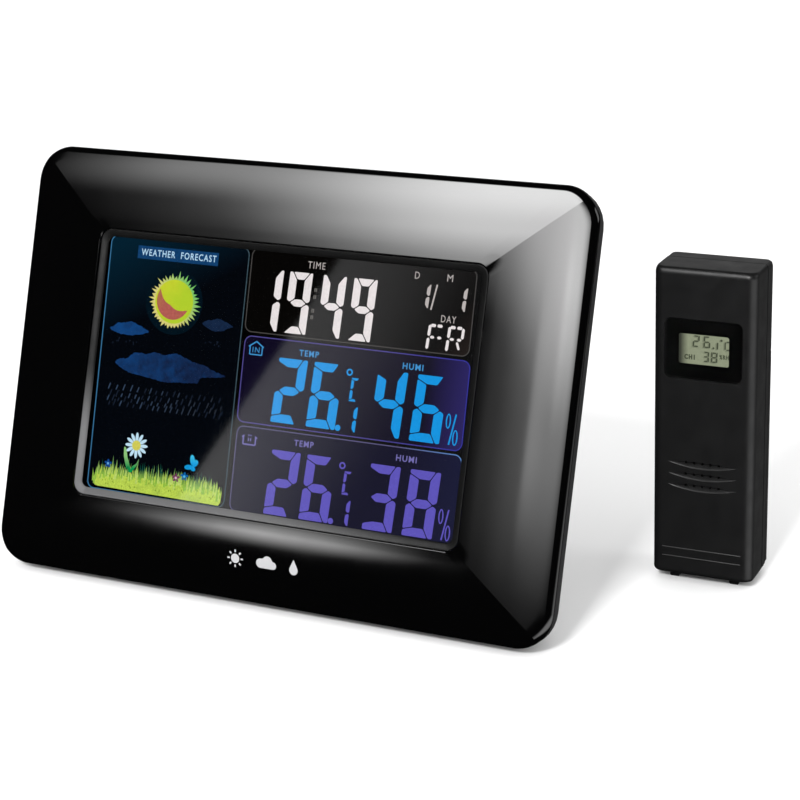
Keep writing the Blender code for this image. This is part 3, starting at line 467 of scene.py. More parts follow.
def lens():
    look = Look("display_lens", (0.93, 0.93, 0.95), 0.02, place=CONSOLE, IOR=1.45, Transmission_Weight=1.0)
    profile = ((0.5, -5.6), (0.0, -5.4), (0.0, -4.8), (0.4, -4.6))
    shape = Shape(CONSOLE).skin(window_loops(*LENS_HALF, profile, lambda inset: 0.9, 8))
    shape.piece("lens_pane", look.material, "console", "smoked_clear", ("window_lens",), smooth=12)


# ---------------- display, drawn on the glass

SHEET = 0.02          # thickness of each drawn layer
LAYER_PITCH = 0.045   # the layers lie this far apart, in front of the glass
LETTER_LEVEL = 2      # the layer that all lettering is on


class Screen:
    """A glass that figures are drawn on, in thin layers."""

    def __init__(self, place, body, slot, front, lean=0.0, upright=0.0):
        self.place, self.body, self.slot = place, body, slot
        self.front, self.lean, self.upright = front, lean, upright

    def depth(self, level):
        return self.front - SHEET - LAYER_PITCH * level

    def across(self, x, z):
        """The glass sits a hair out of square in its frame."""
        return x + (self.upright - z) * self.lean

    def show(self, shape, material, name):
        shape.piece(name, material, self.body, self.slot, smooth=0)


CONSOLE_SCREEN = Screen(CONSOLE, "console", "lcd_glass", -4.3, 0.014, MIDDLE)
SENSOR_SCREEN = Screen(SENSOR, "sensor", "sensor_lcd", 1.5)


def shade(red, green, blue):
    """A colour in linear light, from its sRGB values of 0 to 255."""
    return tuple(((v / 255 + 0.055) / 1.055) ** 2.4 if v > 10 else v / 3294.6 for v in (red, green, blue))


def draw(outlines, level, material, name, screen=CONSOLE_SCREEN):
    """Outlines in (x, z), as thin plates on one layer of the display."""
    shape = Shape(screen.place)
    back = screen.depth(level)
    for outline in outlines:
        shape.card([(screen.across(x, z), z) for x, z in outline], back - SHEET, back)
    screen.show(shape, material, name)


def ring(outer, inner, level, material, name):
    """A closed line between two outlines with equally many points."""
    screen = CONSOLE_SCREEN
    shape = Shape(screen.place)
    back = screen.depth(level)
    loops = []
    for outline, y in ((outer, back), (outer, back - SHEET), (inner, back - SHEET), (inner, back)):
        loops.append([(screen.across(x, z), y, z) for x, z in outline])
    shape.skin(loops, ring=True)
    screen.show(shape, material, name)


def ellipse(x, z, across, upward, sides=20, turn=0.0):
    """Points round an ellipse with two half axes, turned by an angle."""
    points = []
    for k in range(sides):
        cosine, sine = polar(0, 0, 1, 2 * pi * k / sides)
        px, pz = across * cosine, upward * sine
        points.append((x + px * cos(turn) - pz * sin(turn),
                       z + px * sin(turn) + pz * cos(turn)))
    return points


def stroke(start, end, width, tip=0.0):
    """A straight bar between two points; tip points its ends."""
    along = Vector((end[0] - start[0], end[1] - start[1]))
    way = along.normalized()
    side = Vector((-way.y, way.x)) * width / 2
    start, end = Vector(start), Vector(end)
    points = [start + side + way * tip, end + side - way * tip, end, end - side - way * tip,
              start - side + way * tip, start]
    if not tip:
        points = [start + side, end + side, end - side, start - side]
    return [tuple(p) for p in points]


def inset_convex(points, by):
    """A convex outline, anticlockwise or clockwise, with every edge moved in."""
    area = sum(a[0] * b[1] - b[0] * a[1] for a, b in zip(points, points[1:] + points[:1]))
    sign = 1.0 if area > 0 else -1.0
    lines = []
    for a, b in zip(points, points[1:] + points[:1]):
        way = Vector((b[0] - a[0], b[1] - a[1])).normalized()
        inward = Vector((-way.y, way.x)) * sign
        lines.append((Vector(a) + inward * by, way))
    moved = []
    for (p, u), (q, v) in zip(lines[-1:] + lines[:-1], lines):
        cross = u.x * v.y - u.y * v.x
        t = ((q - p).x * v.y - (q - p).y * v.x) / cross
        moved.append(tuple(p + u * t))
    return moved


def rounded(points, radius, steps=3):
    """An outline with its corners rounded off."""
    smooth = []
    count = len(points)
    for k in range(count):
        before, here, after = (Vector(points[j % count]) for j in (k - 1, k, k + 1))
        start = here + (before - here) * min(radius / (before - here).length, 0.45)
        end = here + (after - here) * min(radius / (after - here).length, 0.45)
        for j in range(steps + 1):
            t = j / steps
            smooth.append(tuple(start * (1 - t) ** 2 + here * 2 * t * (1 - t) + end * t * t))
    return smooth


LIT_SEGMENTS = {"1": "bc", "2": "abged", "3": "abgcd", "4": "fgbc", "6": "afgecd", "8": "abcdefg",
                "9": "abcdfg", "C": "afed"}


def digit(character, x, z, width, height, post, bar, cuts, gap=0.17, slant=0.036, soft=0.45):
    """The lit segments of a digit whose lower left corner is at (x, z).

    cuts are the places where the joints at the corners reach the digit's edge, in the order top left,
    top right, bottom left, bottom right: along the end edge if positive, else down the side edge.
    """
    middle = height / 2
    left, right = (0.0, post), (width, width - post)     # outer and inner edge of the posts

    def corner(side, end, cut):
        """Outer joint point, and the corner point for the post or for the bar."""
        if cut > 0:
            inward = 1 if side is left else -1
            return [(side[0] + inward * cut, end)], [(side[0], end)], []
        return [(side[0], end + cut if end else -cut)], [], [(side[0], end)]

    top_left, top_right, low_left, low_right = (
        corner(side, end, cut) for (side, end), cut in
        zip(((left, height), (right, height), (left, 0.0), (right, 0.0)), cuts))
    tip, notch = post * 0.4, bar * 0.28
    upper, lower = middle + bar / 2, middle - bar / 2
    meet_left, meet_right = (tip, middle), (width - tip, middle)

    def end_bar(first, last, inner):
        return first[0] + first[2] + last[2] + last[0] + [(right[1], inner), (left[1], inner)]

    def upright(joint, side, meet, notched, near, far):
        return joint[0] + joint[1] + [(side[0], notched), meet, (side[1], near), (side[1], far)]

    shapes = {
        "a": end_bar(top_left, top_right, height - bar),
        "b": upright(top_right, right, meet_right, middle + notch, upper, height - bar),
        "c": upright(low_right, right, meet_right, middle - notch, lower, bar),
        "d": end_bar(low_left, low_right, bar),
        "e": upright(low_left, left, meet_left, middle - notch, lower, bar),
        "f": upright(top_left, left, meet_left, middle + notch, upper, height - bar),
        "g": [meet_left, (left[1], upper), (right[1], upper),
              meet_right, (right[1], lower), (left[1], lower)],
    }
    outlines = []
    for letter in LIT_SEGMENTS[character]:
        outline = rounded(inset_convex(shapes[letter], gap), soft)
        outlines.append([(x + px + slant * pz, z + pz) for px, pz in outline])
    return outlines


def lettering(text, x, z, height, width, material, name, weight=0.0, screen=CONSOLE_SCREEN):
    """Plain capitals, a height and a total width given, drawn with Blender's own typeface."""
    curve = bpy.data.curves.new(name, "FONT")
    curve.body = text
    curve.size = 1.0
    curve.space_character = 1.2
    curve.resolution_u = 3
    curve.offset = weight
    source = put(name + "_source", curve)
    flat = evaluated(source)
    bpy.data.objects.remove(source)
    bpy.data.curves.remove(curve)
    shape = Shape(screen.place)
    shape.mesh.from_mesh(flat)
    bpy.data.meshes.remove(flat)
    bmesh.ops.remove_doubles(shape.mesh, verts=shape.mesh.verts, dist=1e-5)
    low = [min(v.co[i] for v in shape.mesh.verts) for i in (0, 1)]
    high = [max(v.co[i] for v in shape.mesh.verts) for i in (0, 1)]
    across, upward = width / (high[0] - low[0]), height / (high[1] - low[1])
    for vertex in shape.mesh.verts:
        px, pz = (vertex.co.x - low[0]) * across, (vertex.co.y - low[1]) * upward
        vertex.co = (screen.across(x + px, z + pz), screen.depth(LETTER_LEVEL), z + pz)
    faces = shape.mesh.faces[:]
    grown = bmesh.ops.extrude_face_region(shape.mesh, geom=faces)["geom"]
    for vertex in (item for item in grown if isinstance(item, bmesh.types.BMVert)):
        vertex.co.y -= SHEET
    screen.show(shape, material, name)


def lit(name, colour, mottle, grain=0.5, second=None, along=(0, 0, 1), span=(0, 1), swirl=0.0,
        strength=1.0, place=CONSOLE):
    """A glowing part of a display, backlit on the console and painted light on the sensor's unlit screen: its
    colour glows, fading to a second colour along a direction.
    """
    look = Look(name, (0, 0, 0), 0.55, place=place, Emission_Strength=strength, Specular_IOR_Level=0.0)
    dark = tuple(c * (1 - mottle) for c in shade(*colour))
    light = tuple(min(c * (1 + mottle), 1.0) for c in shade(*colour))
    tint = look.mix(look.between(look.noise(grain, 1.0), 0.3, 0.7, 0.0, 1.0), dark, light)
    if second:
        share = look.between(look.along(along), *span, 0.0, 1.0)
        if swirl:
            wave = look.between(look.noise(3.0, 3.0), 0.3, 0.7, -swirl, swirl)
            share = look.between(look.total(share, wave), 0.0, 1.0, 0.0, 1.0)
        tint = look.mix(share, tint, shade(*second))
    look.drive("Emission Color", tint)
    return look.material


PANELS = {
    "forecast": (-66.0, -14.0, 28.6, 111.9),
    "time": (-13.2, 65.0, 85.3, 112.1),
    "indoor": (-12.7, 65.8, 56.6, 84.3),
    "outdoor": (-12.2, 66.3, 28.3, 55.7),
}
PANEL_CORNER = 2.6
PANEL_LINE = 0.34


def panel_outline(panel, inset):
    left, right, low, high = PANELS[panel]
    return round_panel((left, right), (low, high), inset, PANEL_CORNER - inset, 12)


def panels():
    looks = {
        "forecast": (((3, 6, 12), 0.3, 0.6, (4, 34, 50), (-0.5, 0, 0.87), (100, 126)),
                     ((62, 84, 94), 0.2, 0.6, (60, 122, 164), (-1, 0, 0), (40, 66))),
        "time": (((6, 5, 4), 0.6, 0.22, (34, 27, 24), (0.83, 0, -0.55), (-4, 6)),
                 ((72, 70, 68), 0.15)),
        "indoor": (((15, 11, 34), 0.3, 0.3, (46, 38, 104), (1, 0, 0), (52, 67)),
                   ((84, 76, 148), 0.15, 0.5, (52, 52, 156), (1, 0, 0), (30, 66))),
        "outdoor": (((16, 15, 40), 0.3, 0.3, (20, 22, 54), (1, 0, 0), (48, 66)),
                    ((92, 88, 128), 0.15, 0.5, (92, 140, 202), (1, 0, 0), (45, 66))),
    }
    for panel, (ground, line) in looks.items():
        draw([panel_outline(panel, PANEL_LINE / 2)], 0, lit(f"{panel}_ground", *ground), f"{panel}_panel")
        ring(panel_outline(panel, 0.0), panel_outline(panel, PANEL_LINE), 1, lit(f"{panel}_line", *line),
             f"{panel}_outline")


CLOCK_CUTS = (1.2, 1.0, 0.25, 1.2)
READING_CUTS = (-1.4, 1.7, -2.1, 1.6)


def clock():
    white = lit("lit_white", (236, 229, 227), 0.05, 0.6, strength=1.08)
    soft = lit("lit_soft_white", (196, 188, 184), 0.08, 0.4)
    dim = lit("lit_dim_white", (112, 108, 104), 0.1, 0.4)
    figures = []
    for character, x in zip("1949", (-9.9, 0.4, 12.3, 23.0)):
        figures += digit(character, x, 86.2, 8.4, 19.7, 2.95, 2.6, CLOCK_CUTS)
    draw(figures, 2, white, "clock_digits")
    colon = []
    for low in (100.1, 97.9, 93.6, 91.5):
        slide = 0.05 * (low - 91.5)
        for x, width in ((9.85, 0.38), (10.4, 0.38)):
            colon.append([(x + slide, low), (x + slide + width, low), (x + slide + width + 0.05, low + 1.2),
                          (x + slide + 0.05, low + 1.2)])
    draw(colon, 2, dim, "clock_colon")
    date = []
    for x in (45.1, 57.4):
        date += digit("1", x, 98.7, 4.7, 7.4, 1.35, 1.1, (0.3, 0.45, 0.3, 0.45), 0.1, 0.06, 0.3)
    date.append(stroke((50.75, 98.4), (52.1, 106.2), 0.5))
    draw(date, 2, soft, "date_digits")
    day = []
    for x in (50.9, 57.5):
        day += [stroke((x, 90.4), (x + 0.25, 93.9), 0.95, 0.4),
                stroke((x - 0.25, 86.4), (x, 89.9), 0.95, 0.4)]
        day += [stroke((x + 0.45 + k, 90.15), (x + 2.0 + k, 90.15), 0.85, 0.4) for k in (0.0, 2.4)]
        day += [stroke((x + 0.4 + k, 93.75), (x + 2.2 + k, 93.75), 0.95, 0.3) for k in (0.0, 2.2)]
    day += [stroke((62.1, 90.4), (62.3, 93.8), 0.9, 0.4), stroke((60.4, 89.5), (61.4, 87.1), 0.75, 0.3)]
    draw(day, 2, white, "day_letters")
    for text, x, z, width in (("TIME", 7.2, 107.3, 6.1), ("D", 44.3, 107.4, 1.6), ("M", 55.2, 107.5, 1.9),
                              ("DAY", 54.5, 95.0, 5.0)):
        lettering(text, x, z, 2.15, width, soft, f"label_{text.lower()}")


def reading(panel, figures, x, z, colour, strength, label_colour, label_z, shift):
    """A temperature and a humidity, with their units, in one panel."""
    bright = lit(f"{panel}_figures", colour, 0.06, 0.6, strength=strength)
    label = lit(f"{panel}_labels", label_colour, 0.1)
    outlines = []
    for character, left in zip(figures, (x, x + 12.6, x + 34.8, x + 48.4)):
        outlines += digit(character, left, z, 10.5, 20.7, 3.45, 3.0, READING_CUTS, 0.15, 0.05, 0.5)
    outlines.append(ellipse(x + 24.0, z + 1.0, 0.95, 0.95))
    outlines += digit("C", x + 26.7, z + 9.6, 3.3, 7.5, 1.15, 0.95, (-0.5, 0.6, -0.5, 0.6), 0.1, 0.05, 0.2)
    outlines += digit("1", x + 26.4, z + 0.1, 3.7, 8.1, 1.5, 1.2, (0.3, 0.6, 0.3, 0.6), 0.12, 0.04, 0.35)
    outlines.append(stroke((x + 61.9, z + 0.4), (x + 63.5, z + 9.8), 0.5))
    draw(outlines, 2, bright, f"{panel}_digits")
    rings = ((26.2, 18.6, 1.1, 1.1, 0.5), (61.1, 7.5, 0.85, 2.3, 0.42), (63.8, 2.7, 0.9, 2.4, 0.42))
    for k, (right, above, across, upward, line) in enumerate(rings):
        outer = ellipse(x + right, z + above, across, upward, 28)
        inner = ellipse(x + right, z + above, across - line, upward - line, 28)
        ring(outer, inner, 2, bright, f"{panel}_unit_{k}")
    lettering("TEMP", x + 8.0 + shift, label_z, 1.95, 6.9, label, f"{panel}_label_temp", 0.02)
    lettering("HUMI", x + 44.0 + shift * 0.3, label_z - 0.2, 1.95, 7.0, label, f"{panel}_label_humi", 0.02)
    return label


def house_icons(inside, outside):
    def wall_line(points, width):
        return [stroke(a, b, width) for a, b in zip(points, points[1:])]

    def walls(x, z, height, width):
        return wall_line(((x - 2.2, z + height), (x - 2.2, z), (x + 2.2, z), (x + 2.2, z + height)), width)

    x, z = -8.2, 78.4
    roof = wall_line(((x - 2.7, z + 2.4), (x, z + 4.2), (x + 2.7, z + 2.4)), 0.4)
    draw(walls(x, z, 2.9, 0.4) + roof, 2, inside, "indoor_icon")
    lettering("IN", x - 1.25, z + 0.65, 1.75, 2.5, inside, "indoor_icon_letters")
    x, z = -7.3, 49.9
    eaves = [stroke((x - 2.8, z + 2.2), (x - 1.9, z + 2.8), 0.4),
             stroke((x + 1.9, z + 2.8), (x + 2.8, z + 2.2), 0.4)]
    ticks = [stroke((x + k, z + low), (x + k, z + high), 0.4)
             for low, high in ((1.1, 2.1), (2.7, 3.2)) for k in (-0.35, 0.45)]
    draw(walls(x, z, 2.6, 0.45) + eaves + ticks, 2, outside, "outdoor_icon")


def sun():
    chance = random.Random(11)
    sun_x, sun_z, radius, rays = -40.0, 92.1, 7.7, 42
    draw([ellipse(sun_x, sun_z, 10.6, 10.6, 48)], 1, lit("sun_halo", (3, 20, 30), 0.2), "sun_halo")
    rim = []
    for k in range(rays * 2):
        angle = pi * (k + chance.uniform(-0.3, 0.3)) / rays
        favour = 0.5 + 0.5 * cos(angle - radians(70))
        reach = radius + (chance.uniform(0.5, 1.5 + 1.9 * favour) if k % 2 else chance.uniform(-0.5, 0.0))
        rim.append(polar(sun_x, sun_z, reach, angle))
    pale = lit("sun_rim", (226, 216, 128), 0.1, 0.5, (122, 204, 108), (0.8, 0, 0.6), (20, 31))
    draw([rim], 2, pale, "sun_rays")
    yellow = lit("sun_yellow", (206, 216, 52), 0.06, 1.5, (182, 212, 48), (0.8, 0, -0.6), (-95, -85), 0.2,
                 strength=1.05)
    draw([ellipse(sun_x + 0.1, sun_z + 0.1, 7.1, 7.1, 40)], 3, yellow, "sun_disc")
    first, sweep, steps = 146, 188, 16
    outer = [(6.2, k / steps) for k in range(steps)]
    inner = [(6.2 - 4.4 * sin(pi * (1 - k / steps)) ** 0.75, 1 - k / steps) for k in range(steps)]
    crescent = [polar(sun_x - 0.2, sun_z + 0.4, reach, radians(first + sweep * share))
                for reach, share in outer + inner]
    red = lit("sun_crescent", (186, 98, 88), 0.1, 0.9, (176, 124, 70), (-1, 0, 0.3), (71, 77), 0.2)
    draw([crescent], 4, red, "sun_crescent")
    return chance


CLOUDS = {
    "cloud_left": ((-63.6, 81.4), (-61.4, 82.3), (-60.6, 83.4), (-58.0, 83.6), (-55.2, 84.4), (-52.8, 83.5),
                   (-49.8, 82.5), (-47.8, 81.5), (-50.5, 80.7), (-54.0, 79.9), (-58.8, 79.8), (-61.8, 80.5)),
    "cloud_right": ((-28.9, 86.2), (-26.9, 87.6), (-24.6, 87.8), (-22.9, 88.6), (-20.6, 87.6), (-18.2, 86.9),
                    (-17.1, 86.2), (-19.4, 85.5), (-21.0, 84.6), (-23.6, 84.1), (-26.0, 84.7), (-28.0, 85.6)),
    "cloud_middle": ((-60.4, 70.8), (-57.4, 72.2), (-55.6, 72.0), (-53.2, 74.3), (-50.2, 74.6), (-48.0, 74.2),
                     (-45.6, 75.3), (-41.0, 74.6), (-37.6, 75.8), (-34.4, 75.0), (-31.0, 73.6), (-26.0, 73.0),
                     (-22.4, 71.4), (-17.8, 70.3), (-22.6, 69.4), (-27.6, 69.0), (-27.9, 67.0), (-33.6, 66.6),
                     (-40.6, 66.0), (-47.4, 66.9), (-54.4, 67.7), (-58.2, 69.2)),
}


def clouds(chance):
    """The clouds, with edges as if brushed."""
    blue = lit("cloud_blue", (20, 38, 72), 0.2, 1.0, (20, 70, 128), (-0.8, 0, 0.6), (66, 104), 0.3)
    pale = lit("cloud_dim", (22, 40, 68), 0.15, 1.2)
    for name, outline in CLOUDS.items():
        smooth = rounded(outline, 1.3, 4)
        brushed = []
        for here, after in zip(smooth, smooth[1:] + smooth[:1]):
            pieces = max(1, round(dist(here, after) / 0.55))
            brushed += [(here[0] + (after[0] - here[0]) * k / pieces + chance.uniform(-0.13, 0.13),
                         here[1] + (after[1] - here[1]) * k / pieces + chance.uniform(-0.16, 0.16))
                        for k in range(pieces)]
        draw([brushed], 2, pale if name == "cloud_right" else blue, name)


def falling(x, z, reach, width, tip):
    """A slanting drop."""
    return stroke((x, z), (x + 0.33 * reach, z + 0.94 * reach), width, tip)


def rain(chance):
    drops = []
    for row, low in enumerate((61.6, 59.4, 57.9, 56.4)):
        x = -61.5 + 0.7 * (row % 2)
        while x < -18.0:
            reach = chance.uniform(1.3, 2.5)
            drops.append((chance.random(), falling(x, low, reach, 0.42, 0.15)))
            x += chance.uniform(1.7, 3.1)
    faint = lit("rain_faint", (26, 34, 48), 0.2)
    clear = lit("rain_clear", (54, 72, 96), 0.2, 0.5, (40, 46, 56), (1, 0, 0), (-60, -25))
    draw([drop for luck, drop in drops if luck < 0.5], 2, faint, "rain_faint")
    draw([drop for luck, drop in drops if luck >= 0.5], 2, clear, "rain_clear")
    for name, count, across, upward in (("drizzle_left", 9, (-62.0, -52.0), (76.0, 78.3)),
                                        ("drizzle_right", 8, (-29.0, -18.5), (79.0, 81.2))):
        drizzle = []
        for _ in range(count):
            x, z = chance.uniform(*across), chance.uniform(*upward)
            drizzle.append(falling(x, z, 0.7 * chance.uniform(0.7, 1.1), 0.4, 0.16))
        draw(drizzle, 2, faint, name)


def forecast():
    strip = lit("strip_blue", (20, 66, 112), 0.15, 0.8)
    letters = lit("strip_letters", (186, 224, 246), 0.05, strength=1.05)
    draw([[(-55.4, 105.0), (-25.2, 105.0), (-25.2, 109.2), (-55.4, 109.2)]], 1, strip, "forecast_strip")
    lettering("WEATHER  FORECAST", -54.0, 106.1, 2.2, 28.1, letters, "forecast_letters", 0.012)
    chance = sun()
    clouds(chance)
    rain(chance)


LAWN_X, LAWN_Z = (-64.3, -15.3), (29.7, 35.4)


def lawn_height(x):
    """Height of the lawn, lower at both ends."""
    at = (x - LAWN_X[0]) / (LAWN_X[1] - LAWN_X[0])
    return LAWN_Z[1] - 3.0 * max(0.0, 1 - at / 0.05) - 3.2 * max(0.0, (at - 0.9) / 0.1) ** 1.6


def lawn():
    chance = random.Random(5)
    (left, right), low = LAWN_X, LAWN_Z[0]
    edge = [(right - 0.9, low - 0.5), (right - 0.2, low + 0.6)]
    x = right
    while x > left + 0.8:
        edge.append((x, lawn_height(x) + chance.uniform(0.9, 2.6)))
        x -= chance.uniform(0.3, 0.6)
        edge.append((x, lawn_height(x) - chance.uniform(0.2, 0.9)))
        x -= chance.uniform(0.25, 0.5)
    edge += [(left + 0.1, low + 2.0), (left + 1.3, low + 0.2), (left + 2.4, low)]
    grass = lit("grass", (194, 220, 84), 0.16, 0.35, (74, 132, 62), span=(34.6, 38.2), swirl=0.22)
    draw([edge], 2, grass, "grass")

    blades, tips = [], []
    x = left + 0.5
    while x < right - 0.4:
        foot = lawn_height(x) - chance.uniform(1.0, 3.4)
        reach = chance.uniform(2.6, 5.4) if chance.random() < 0.8 else chance.uniform(5.0, 6.6)
        lean = chance.uniform(-0.55, 0.75) + 0.9 * max(0.0, (x - 0.88 * right + 7) / 30)
        width = chance.uniform(0.22, 0.42)
        blade = [(x - width, foot), (x - width * 0.5 + lean * 0.4, foot + reach * 0.55),
                 (x + lean, foot + reach), (x + width * 0.8 + lean * 0.3, foot + reach * 0.5),
                 (x + width, foot)]
        (tips if chance.random() < 0.55 else blades).append(blade)
        x += chance.uniform(0.3, 0.62)
    pale = lit("grass_pale", (196, 222, 110), 0.15, 0.5, (120, 170, 96), span=(34, 38.5))
    dark = lit("grass_dark", (150, 196, 72), 0.15, 0.5, (16, 74, 62), span=(33.4, 37.0))
    draw(blades, 3, pale, "grass_blades")
    draw(tips, 4, dark, "grass_tips")
    specks = [ellipse(chance.uniform(-63, -17), chance.uniform(30.6, 34.6), 0.14,
                      chance.uniform(0.2, 0.45), 8) for _ in range(46)]
    draw(specks, 3, lit("grass_specks", (120, 150, 44), 0.2), "grass_specks")


def petals(x, z, count, reach, long, wide, sides, first):
    """Petals round a heart."""
    angles = [2 * pi * k / count + first for k in range(count)]
    return [ellipse(*polar(x, z, reach, angle), long, wide, sides, angle) for angle in angles]


def meadow():
    lawn()
    leaf = ((-50.7, 35.4), (-51.8, 37.4), (-52.9, 40.6), (-53.1, 43.8), (-52.2, 43.2), (-51.5, 40.4),
            (-50.4, 38.0), (-49.7, 36.0))
    small_leaf = ((-50.5, 35.6), (-49.4, 37.6), (-47.8, 38.7), (-47.0, 40.5), (-47.6, 38.1), (-48.7, 36.6),
                  (-49.6, 35.4))
    green = lit("leaf_green", (12, 150, 76), 0.1, 0.6, (150, 206, 128), span=(37, 41))
    draw([rounded(leaf, 0.6), rounded(small_leaf, 0.5)], 4, green, "daisy_leaves")
    daisy = (-48.5, 44.5)
    white = lit("petal_white", (196, 230, 246), 0.05, strength=1.05)
    draw(petals(*daisy, 12, 2.75, 1.5, 0.56, 14, 0.02), 4, white, "daisy_petals")
    draw([ellipse(*daisy, 1.65, 1.65)], 5, lit("daisy_heart", (220, 214, 92), 0.1), "daisy_heart")

    wing = lit("wing_blue", (20, 160, 226), 0.1, 0.6, (70, 205, 240), span=(41, 44))
    wings = ((-27.1, 42.4, 1.75, 0.85, 1.75), (-26.0, 41.5, 1.3, 0.95, 0.9), (-28.3, 40.0, 1.5, 0.8, 0.15),
             (-26.7, 39.7, 1.0, 0.75, -0.5))
    draw([ellipse(x, z, long, wide, 16, turn) for x, z, long, wide, turn in wings], 5, wing, "butterfly")
    blossoms = (("blue", -58.6, 37.4, (20, 74, 150), (110, 176, 230)),
                ("pink", -32.6, 36.0, (120, 62, 96), (226, 178, 208)),
                ("cyan", -29.5, 36.8, (16, 104, 178), (90, 196, 240)))
    for name, x, z, petal, heart in blossoms:
        leaves = petals(x, z, 5, 0.85, 0.6, 0.42, 10, 0.3)
        draw(leaves, 4, lit(f"{name}_petals", petal, 0.1), f"{name}_blossom")
        draw([ellipse(x, z, 0.42, 0.42, 12)], 5, lit(f"{name}_heart", heart, 0.1), f"{name}_blossom_heart")


def display():
    panels()
    clock()
    inside = reading("indoor", "2646", -0.7, 57.9, (14, 152, 228), 1.05, (66, 152, 214), 79.7, 0.0)
    outside = reading("outdoor", "2638", 0.1, 28.9, (98, 88, 192), 1.0, (120, 114, 182), 51.5, 0.6)
    house_icons(inside, outside)
    forecast()
    meadow()


# ---------------- outdoor sensor

def sensor_plan(front, back):
    """The front case seen from above: round front edges, bevelled back ones, a short flat beside each."""
    half = SENSOR_WIDTH / 2
    points = []
    corners = ((half, back, 0.25, 0, 1), (-half, back, 0.25, 90, 1), (-half, front, SENSOR_EDGE, 180, 10),
               (half, front, SENSOR_EDGE, 270, 10))
    for x, y, radius, start, steps in corners:
        centre = Vector((x - copysign(radius, x), y - radius if y == back else y + radius))
        ways = [Vector((cos(a), sin(a))) for a in
                (radians(start + 90 * k / steps) for k in range(steps + 1))]
        first, last = ways[0], ways[-1]
        points.append(centre + first * radius - last * 0.2)
        points += [centre + way * radius for way in ways]
        points.append(centre + last * radius - first * 0.2)
    return points


def sensor_heights():
    """The case's end rounds: (inset, height) from the bottom up."""
    low, high = [], []
    for k in range(11):
        angle = radians(9 * k)
        low.append((1.5 * (1 - sin(angle)), SENSOR_BASE + 1.6 * (1 - cos(angle))))
        high.append((1.8 * (1 - cos(angle)), SENSOR_HEIGHT - 2.0 * (1 - sin(angle))))
    return low + [(0.0, low[-1][1] + 0.2), (0.0, high[0][1] - 0.2)] + high


def scoop(x_half, place, shape):
    """A cutter for a shallow hollow: place(x) gives its upper height, lower height and depth."""
    section = ((-0.05, -0.2), (0.0, 0.0), (0.06, 0.5), (0.13, 0.86), (0.22, 1.0), (0.4, 0.93), (0.6, 0.74),
               (0.8, 0.46), (1.0, 0.0), (1.06, -0.2))
    loops = []
    for k in range(33):
        x = x_half * sin(pi * (k / 32 - 0.5)) * 0.998
        upper, lower, depth = place(x)
        loops.append([(x, depth * deep, upper + (lower - upper) * along) for along, deep in section])
    shape.skin(loops)


def sensor_front(material):
    case = Shape(SENSOR)
    loops = []
    for inset, z in sensor_heights():
        loops.append([(x * (1 - inset / 40), y, z) for x, y in sensor_plan(inset, SENSOR_SPLIT)])
    case.skin(loops)
    inner = SENSOR_WIDTH / 2 - SENSOR_WALL
    case.cut(Shape(SENSOR).box((-inner, inner), (SENSOR_WALL + 0.2, SENSOR_SPLIT + 4),
                               (SENSOR_BASE + SENSOR_WALL, SENSOR_HEIGHT - SENSOR_WALL - 0.2)))
    for x in (-9.9, 9.9):
        half_foot = ((1.3, 0.0), (1.6, 0.5), (1.6, SENSOR_BASE + 0.9))
        foot = [(x - out, z) for out, z in reversed(half_foot)] + [(x + out, z) for out, z in half_foot]
        case.join(Shape(SENSOR).card(foot, 4.0, SENSOR_SPLIT - 0.2))
    case.cut(Shape(SENSOR).card(round_panel(MASK_X, MASK_Z, -0.2, 2.1, 16), -2.0, 1.35))
    case.cut(Shape(SENSOR).box((PANE_X[0] - 1.0, PANE_X[1] + 1.0), (-1.0, 4.0),
                               (PANE_Z[0] - 1.0, PANE_Z[1] + 1.0)))

    hollows, holes = Shape(SENSOR), Shape(SENSOR)
    for row in range(3):
        tips = CRESCENT_Z - CRESCENT_PITCH * row

        def smile(x):
            bulge = 1 - (x / CRESCENT_HALF) ** 2
            return tips + 0.55 * bulge, tips - 1.75 * bulge, 0.03 + 0.3 * bulge ** 0.7

        scoop(CRESCENT_HALF, smile, hollows)
        for k in range(5):
            holes.bar(HOLE_PITCH * (k - 2), tips + 0.12, HOLE_RADIUS, -1.0, 4.0)
    for z in GROOVE_HEIGHTS:
        scoop(GROOVE_X, lambda x: (z + 0.16, z - 0.26, 0.2), hollows)
    bmesh.ops.triangulate(hollows.mesh, faces=hollows.mesh.faces)
    case.cut(hollows)
    case.cut(holes)
    shell = case.piece("sensor_front_shell", material, "sensor", "matt_black", ("sensor_front_case",),
                       smooth=14)
    inward = SENSOR.inverted()
    flat_low, flat_high = 4.4, 102.0
    for polygon in shell.data.polygons:
        x, _, z = inward @ polygon.center
        polygon.use_smooth = abs(x) > GROOVE_X + 0.1 or not flat_low < z < flat_high


